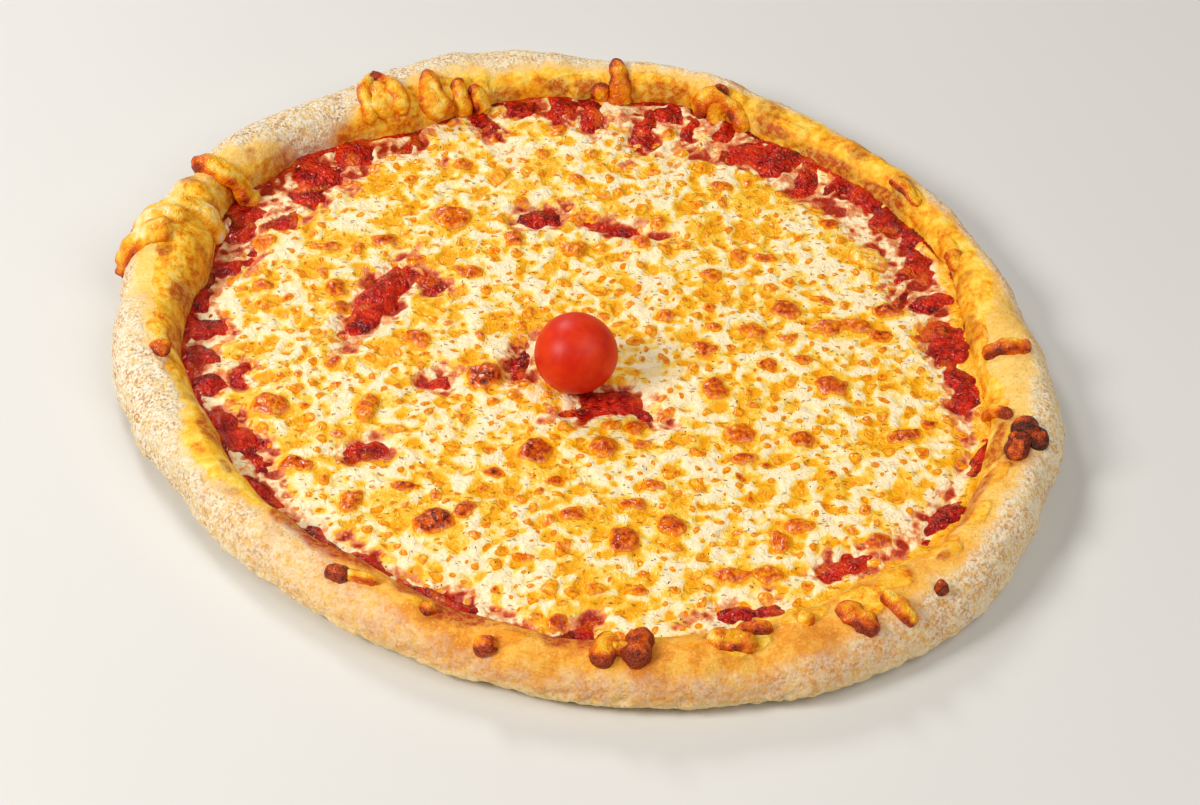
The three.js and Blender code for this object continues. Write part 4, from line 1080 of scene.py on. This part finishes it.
def make_sauce(level):
    pitch = 0.95
    half = 132.0
    count = int(2 * half / pitch)
    piece = grid_piece("sauce_piece", count, count)
    x, y, _ = places_of(piece)
    x, y = x * half * MM, y * half * MM
    place_vertices(piece, x, y, sample(level, x, y))
    trim_layer(piece, lambda px, py: (
        inner_radius(np.degrees(np.arctan2(py, px)) % TURN) + 1.2 - np.hypot(px, py)))
    root_layer(piece, SAUCE_BOTTOM)
    x, y, z = places_of(piece)
    oily = smooth(0.25, 0.8, grain(x, y, 0, 5, 61) + 0.4 * grain(x, y, 0, 1.8, 62)) * 0.8
    paint(piece, "oily", oily)
    finish_piece(piece, SAUCE, "tomato_sauce", "sauce")
    return piece


def trim_layer(piece, depth):
    """Deletes a layer's vertices where depth is negative, and those where corners only touch."""
    x, y, _ = places_of(piece)
    keep = depth(x, y) > 0
    only(piece)
    mesh = bmesh.new()
    mesh.from_mesh(piece.data)
    mesh.verts.ensure_lookup_table()
    unwanted = [v for v, inside in zip(mesh.verts, keep) if not inside]
    while unwanted:
        bmesh.ops.delete(mesh, geom=unwanted, context="VERTS")
        bmesh.ops.delete(mesh, geom=[e for e in mesh.edges if e.is_wire], context="EDGES")
        unwanted = [v for v in mesh.verts
                    if not v.link_faces or sum(e.is_boundary for e in v.link_edges) > 2]
    mesh.to_mesh(piece.data)
    mesh.free()


def root_layer(piece, bottom):
    """Gives a trimmed layer its side, down to a flat underside, and closes it."""
    mesh = bmesh.new()
    mesh.from_mesh(piece.data)
    edges = [e for e in mesh.edges if e.is_boundary]
    made = bmesh.ops.extrude_edge_only(mesh, edges=edges)["geom"]
    for v in (g for g in made if isinstance(g, bmesh.types.BMVert)):
        v.co.z = bottom * MM
    rim = [e for e in made if isinstance(e, bmesh.types.BMEdge) and e.is_boundary]
    bmesh.ops.triangle_fill(mesh, edges=rim, use_beauty=False, use_dissolve=False)
    bmesh.ops.recalc_face_normals(mesh, faces=mesh.faces)
    for face in mesh.faces:
        face.smooth = True
    mesh.to_mesh(piece.data)
    mesh.free()


def lay_cheese(cover, shreds, gold, bubbles, sauce_level):
    """Height of the cheese over the canvas, and the fields that its material turns into colour."""
    rise, inside, crusting, halo = bubbles
    fringe = smooth(-3, 5, CANVAS_RADIUS - cheese_radius(CANVAS_ANGLE)
                    + 2 * grain(CANVAS_X, CANVAS_Y, 0, 8, 78))
    body = smooth(-0.5, 5, cover) * (1 - 0.6 * fringe)
    broad = 0.45 * grain(CANVAS_X, CANVAS_Y, 0, 26, 71)
    level = SAUCE_TOP + 0.1 + (GAP + CHEESE_THICKNESS - 0.6 + broad) * body
    level = level + (0.7 + 0.6 * body) * (shreds - 0.4) + rise * smooth(0, 2.5, cover)
    under = sauce_level - 0.75 + 0.9 * smooth(0, 1.6, cover) + 0.75 * shreds
    level = np.where(cover > 0, np.maximum(level, under), sauce_level - 1.2 + 0.6 * smooth(-1, 0, cover))
    patchy = grain(CANVAS_X, CANVAS_Y, 0, 24, 72) + 0.5 * grain(CANVAS_X, CANVAS_Y, 0, 10, 73)
    pooled = 0.8 * smooth(-0.05, 0.7, grain(CANVAS_X, CANVAS_Y, 0, 4.5, 75)
                          + 0.5 * grain(CANVAS_X, CANVAS_Y, 0, 2.2, 76) + 0.35 * patchy)
    pooled = np.maximum(np.maximum(gold, pooled), 0.9 * halo) * (1 - 0.4 * fringe)
    thin = np.maximum(fringe, 1 - smooth(0.0, 6.5, cover + 1.6 * grain(CANVAS_X, CANVAS_Y, 0, 4, 77)))
    edge = around(RIM_GOLD, CANVAS_ANGLE) * smooth(-6.5, -2.5, CANVAS_RADIUS - inner_radius(CANVAS_ANGLE)
                                                   + 1.8 * grain(CANVAS_X, CANVAS_Y, 0, 5, 79))
    pooled = np.maximum(pooled, edge)
    thin = thin * (1 - 0.9 * edge)
    fields = {"gold": pooled, "bubble": 0.5 + inside / 3, "crusting": crusting, "shred": shreds, "thin": thin}
    return soften(level, 0.25), fields


def make_cheese(cover, level, fields):
    pitch = 0.72
    half = 131.0
    count = int(2 * half / pitch)
    piece = grid_piece("cheese_piece", count, count)
    x, y, _ = places_of(piece)
    x, y = x * half * MM, y * half * MM
    place_vertices(piece, x, y, sample(level, x, y))
    trim_layer(piece, lambda px, py: sample(cover, px, py) + 1.0)
    root_layer(piece, SAUCE_BOTTOM + 0.2)
    x, y, z = places_of(piece)
    for name, field in fields.items():
        paint(piece, name, sample(field, x, y))
    finish_piece(piece, CHEESE, "melted_cheese", "cheese")
    return piece


def seat(dough, angle, radius):
    """A place on the finished dough, or on the toppings inside it."""
    x = radius * math.cos(math.radians(angle))
    y = radius * math.sin(math.radians(angle))
    place = dough.ray_cast(Vector((x, y, 60)) * MM, Vector((0, 0, -1)))[0]
    level = place.z / MM if place else float(rim_level(angle, radius))
    return x, y, max(level, SAUCE_TOP + 0.6)


def make_strand(dough, name, route, width, height, brown, spread, seed):
    """One strand of baked cheese laid over the rim: a ball drawn out along a path, wider inwards."""
    bpy.ops.object.select_all(action="DESELECT")
    bpy.ops.mesh.primitive_uv_sphere_add(segments=36, ring_count=30, radius=1)
    piece = bpy.context.object
    piece.name = piece.data.name = name
    u, v, w = (c * MM for c in places_of(piece))
    stops = np.linspace(0, len(route) - 1, 5 * len(route))
    angles, radii = (np.interp(stops, range(len(route)), part) for part in zip(*route))
    seats = np.array([seat(dough, angle, radius) for angle, radius in zip(angles, radii)])
    steps = np.concatenate([[0], np.cumsum(np.linalg.norm(np.diff(seats, axis=0), axis=1))])
    total = steps[-1]
    share = (w + 1) / 2
    along = total * share
    centre = np.stack([np.interp(along, steps, seats[:, k]) for k in range(3)], 1)
    ahead = np.stack([np.interp(np.minimum(along + 1.5, total), steps, seats[:, k])
                      - np.interp(np.maximum(along - 1.5, 0), steps, seats[:, k]) for k in range(3)], 1)
    ahead /= np.linalg.norm(ahead, axis=1)[:, None]
    side = np.stack([-ahead[:, 1], ahead[:, 0], np.zeros(len(u))], 1)
    side /= np.linalg.norm(side, axis=1)[:, None]
    up = np.cross(ahead, side)
    up *= np.sign(up[:, 2])[:, None]
    broad = width * (1 + (spread - 1) * share)
    ends = np.minimum(broad * 0.5, total * 0.5) / total
    tip = np.sqrt(np.clip(1 - (np.maximum(np.abs(share - 0.5) - (0.5 - ends), 0) / ends) ** 2, 0, 1))
    ring = np.hypot(u, v)
    ring = np.where(ring < 1e-6, 1, ring)
    u, v = u / ring, v / ring
    lump = (1 + 0.22 * grain(*centre.T, 3.4, seed)
            + 0.1 * grain(centre[:, 0] + 3 * u, centre[:, 1], along, 2.2, seed + 5))
    rise = np.where(v > 0, height * 0.95, height * 0.5)
    place = centre + side * (u * tip * broad / 2 * lump)[:, None] + up * (v * tip * rise * lump)[:, None]
    fine = 0.3 * grain(*place.T, 1.3, seed + 1) + 0.4 * grain(*place.T, 2.8, seed + 2)
    place += (side * u[:, None] + up * v[:, None]) * (fine * tip)[:, None]
    place_vertices(piece, *place.T)
    end_brown = 0.46 * (1 - smooth(0.06, 0.3, share)) if spread > 1 else 0
    foot = 0.24 * smooth(0.5, 0.9, np.abs(u))
    patchy = 0.26 * grain(*place.T, 3.4, seed + 3) + 0.16 * grain(*place.T, 1.5, seed + 4)
    tone = np.minimum(brown - 0.06 + patchy + end_brown + foot, max(0.86, brown + 0.05))
    paint(piece, "browning", tone)
    close_and_turn_out(piece)
    return piece


def join_pieces(pieces, name):
    bpy.ops.object.select_all(action="DESELECT")
    for piece in pieces:
        piece.select_set(True)
    bpy.context.view_layer.objects.active = pieces[0]
    if len(pieces) > 1:
        bpy.ops.object.join()
    pieces[0].name = pieces[0].data.name = name
    return pieces[0]


def make_rim_cheese(crust):
    dough = BVHTree.FromPolygons([v.co for v in crust.data.vertices],
                                 [p.vertices for p in crust.data.polygons])
    for number, (name, strands) in enumerate(RIM_CHEESE.items()):
        parts = [make_strand(dough, f"{name}_{i}", *strand, 200 + number * 20 + i * 5)
                 for i, strand in enumerate(strands)]
        piece = join_pieces(parts, f"baked_{name}")
        finish_piece(piece, BAKED_CHEESE, "browned_cheese", f"baked_cheese_{name}")


def make_tomato():
    bpy.ops.object.select_all(action="DESELECT")
    bpy.ops.mesh.primitive_uv_sphere_add(segments=96, ring_count=64, radius=1)
    piece = bpy.context.object
    piece.name = piece.data.name = "tomato_piece"
    x, y, z = (c * MM for c in places_of(piece))
    swell = 1 + 0.012 * np.cos(3 * np.arctan2(y, x) + 0.6) * np.hypot(x, y)
    dent = 0.1 * np.exp(-((np.hypot(x, y) / 0.22) ** 2)) * (z < 0)
    place_vertices(piece, TOMATO_X + TOMATO_RADIUS * x * swell, TOMATO_Y + TOMATO_RADIUS * y * swell,
                   TOMATO_LIFT + TOMATO_RADIUS * TOMATO_SQUAT * z * (1 - dent))
    close_and_turn_out(piece)
    finish_piece(piece, TOMATO, "tomato_skin", "cherry_tomato")


def scatter(name, template, x, y, z, sizes, turns, tilts):
    """Copies a small template mesh to many places as one mesh."""
    corners, faces = template
    all_places = []
    all_faces = []
    for k in range(len(x)):
        spin = Matrix.Rotation(turns[k], 3, "Z") @ Matrix.Rotation(tilts[k], 3, "X")
        moved = (corners * sizes[k]) @ np.array(spin).T + np.array([x[k], y[k], z[k]])
        all_places.append(moved)
        all_faces.extend(tuple(v + k * len(corners) for v in face) for face in faces)
    placed = np.concatenate(all_places)
    return new_mesh_object(name, *placed.T, all_faces)


def fleck_template():
    """A crumpled fleck of dried leaf, about 1 across."""
    bpy.ops.object.select_all(action="DESELECT")
    bpy.ops.mesh.primitive_ico_sphere_add(subdivisions=1, radius=0.5)
    fleck = bpy.context.object
    corners = np.array([v.co for v in fleck.data.vertices]) * np.array([1.0, 0.34, 0.22])
    corners += np.random.default_rng(5).uniform(-0.06, 0.06, corners.shape)
    faces = [tuple(p.vertices) for p in fleck.data.polygons]
    bpy.data.objects.remove(fleck)
    return corners, faces


def make_herbs(level, cover, rng):
    count = 750
    angle = rng.uniform(0, TURN, count)
    radius = np.sqrt(rng.uniform(0, 1, count)) * (inner_radius(angle) - 3)
    x = radius * np.cos(np.radians(angle))
    y = radius * np.sin(np.radians(angle))
    keep = (np.hypot(x - TOMATO_X, y - TOMATO_Y) > TOMATO_RADIUS * 0.7) & (sample(cover, x, y) > 0.5)
    x, y = x[keep], y[keep]
    z = sample(level, x, y) + 0.03
    sizes = np.stack([rng.uniform(0.6, largest, len(x)) for largest in (1.5, 1.1, 1)], 1)
    piece = scatter("herb_flecks", fleck_template(), x, y, z, sizes,
                    rng.uniform(0, math.tau, len(x)), rng.uniform(-0.5, 0.5, len(x)))
    finish_piece(piece, HERBS, "melted_cheese")


DOUGH = make_dough_material()
SAUCE = make_sauce_material()
CHEESE = make_cheese_material()
BAKED_CHEESE = make_baked_cheese_material()
TOMATO = make_tomato_material()
HERBS = make_herb_material()


def build_pizza():
    draw = random.Random(7)
    scattered = np.random.default_rng(17)
    cover = lay_cover()
    shreds = lay_shreds(draw)
    gold = lay_gold(draw)
    bubbles = lay_bubbles(draw)
    sauce_level = lay_sauce()
    cheese_level, fields = lay_cheese(cover, shreds, gold, bubbles, sauce_level)
    crust = make_crust()
    make_sauce(sauce_level)
    make_cheese(cover, cheese_level, fields)
    make_rim_cheese(crust)
    make_tomato()
    make_herbs(cheese_level, cover, scattered)


# The view: where the camera stands, how far it looks down, and its small roll
CAMERA_PLACE = Vector((4.3, -768.6, 690.2)) * MM
CAMERA_PITCH = math.radians(42.47)
CAMERA_ROLL = math.radians(-2.21)
CAMERA_LENS = 100
SENSOR_WIDTH = 36


def make_camera():
    forward = Vector((0, math.cos(CAMERA_PITCH), -math.sin(CAMERA_PITCH)))
    down = Vector((0, -math.sin(CAMERA_PITCH), -math.cos(CAMERA_PITCH)))
    across = Vector((1, 0, 0))
    right = across * math.cos(CAMERA_ROLL) + down * math.sin(CAMERA_ROLL)
    lower = down * math.cos(CAMERA_ROLL) - across * math.sin(CAMERA_ROLL)
    camera = bpy.data.objects.new("camera", bpy.data.cameras.new("camera"))
    camera.data.lens = CAMERA_LENS
    camera.data.sensor_width = SENSOR_WIDTH
    camera.data.sensor_fit = "HORIZONTAL"
    axes = Matrix((right, -lower, -forward)).transposed()
    camera.matrix_world = Matrix.Translation(CAMERA_PLACE) @ axes.to_4x4()
    bpy.context.scene.collection.objects.link(camera)
    bpy.context.scene.camera = camera


def make_light(name, place, size, power, tone):
    light = bpy.data.objects.new(name, bpy.data.lights.new(name, "AREA"))
    light.data.shape = "DISK"
    light.data.size = size
    light.data.energy = power
    light.data.color = tone
    light.location = place
    light.rotation_euler = (-Vector(place)).to_track_quat("-Z", "Y").to_euler()
    bpy.context.scene.collection.objects.link(light)


def make_studio():
    bpy.ops.object.select_all(action="DESELECT")
    bpy.ops.mesh.primitive_plane_add(size=6)
    floor = bpy.context.object
    floor.name = "floor"
    finish = Finish("pale floor")
    tone = finish.mix(finish.noise(finish.place(), 400, 2), colour(216, 213, 208), colour(222, 220, 215))
    finish.feed(finish.shader.inputs["Base Color"], tone)
    finish.shader.inputs["Roughness"].default_value = 0.6
    floor.data.materials.append(finish.material)
    make_light("key", (-0.91, -0.44, 0.82), 0.5, 12.0, (1.0, 0.98, 0.95))
    make_light("fill", (0.7, -0.5, 1.1), 1.2, 8.5, (1.0, 0.99, 0.97))
    make_light("back", (-0.5, 0.9, 0.85), 0.36, 6.0, (1.0, 0.99, 0.98))
    world = bpy.data.worlds.new("studio")
    world.use_nodes = True
    world.node_tree.nodes["Background"].inputs["Color"].default_value = (1.0, 0.985, 0.96, 1)
    world.node_tree.nodes["Background"].inputs["Strength"].default_value = 0.17
    bpy.context.scene.world = world
    bpy.context.scene.view_settings.view_transform = "Standard"


make_camera()
build_pizza()
make_studio()
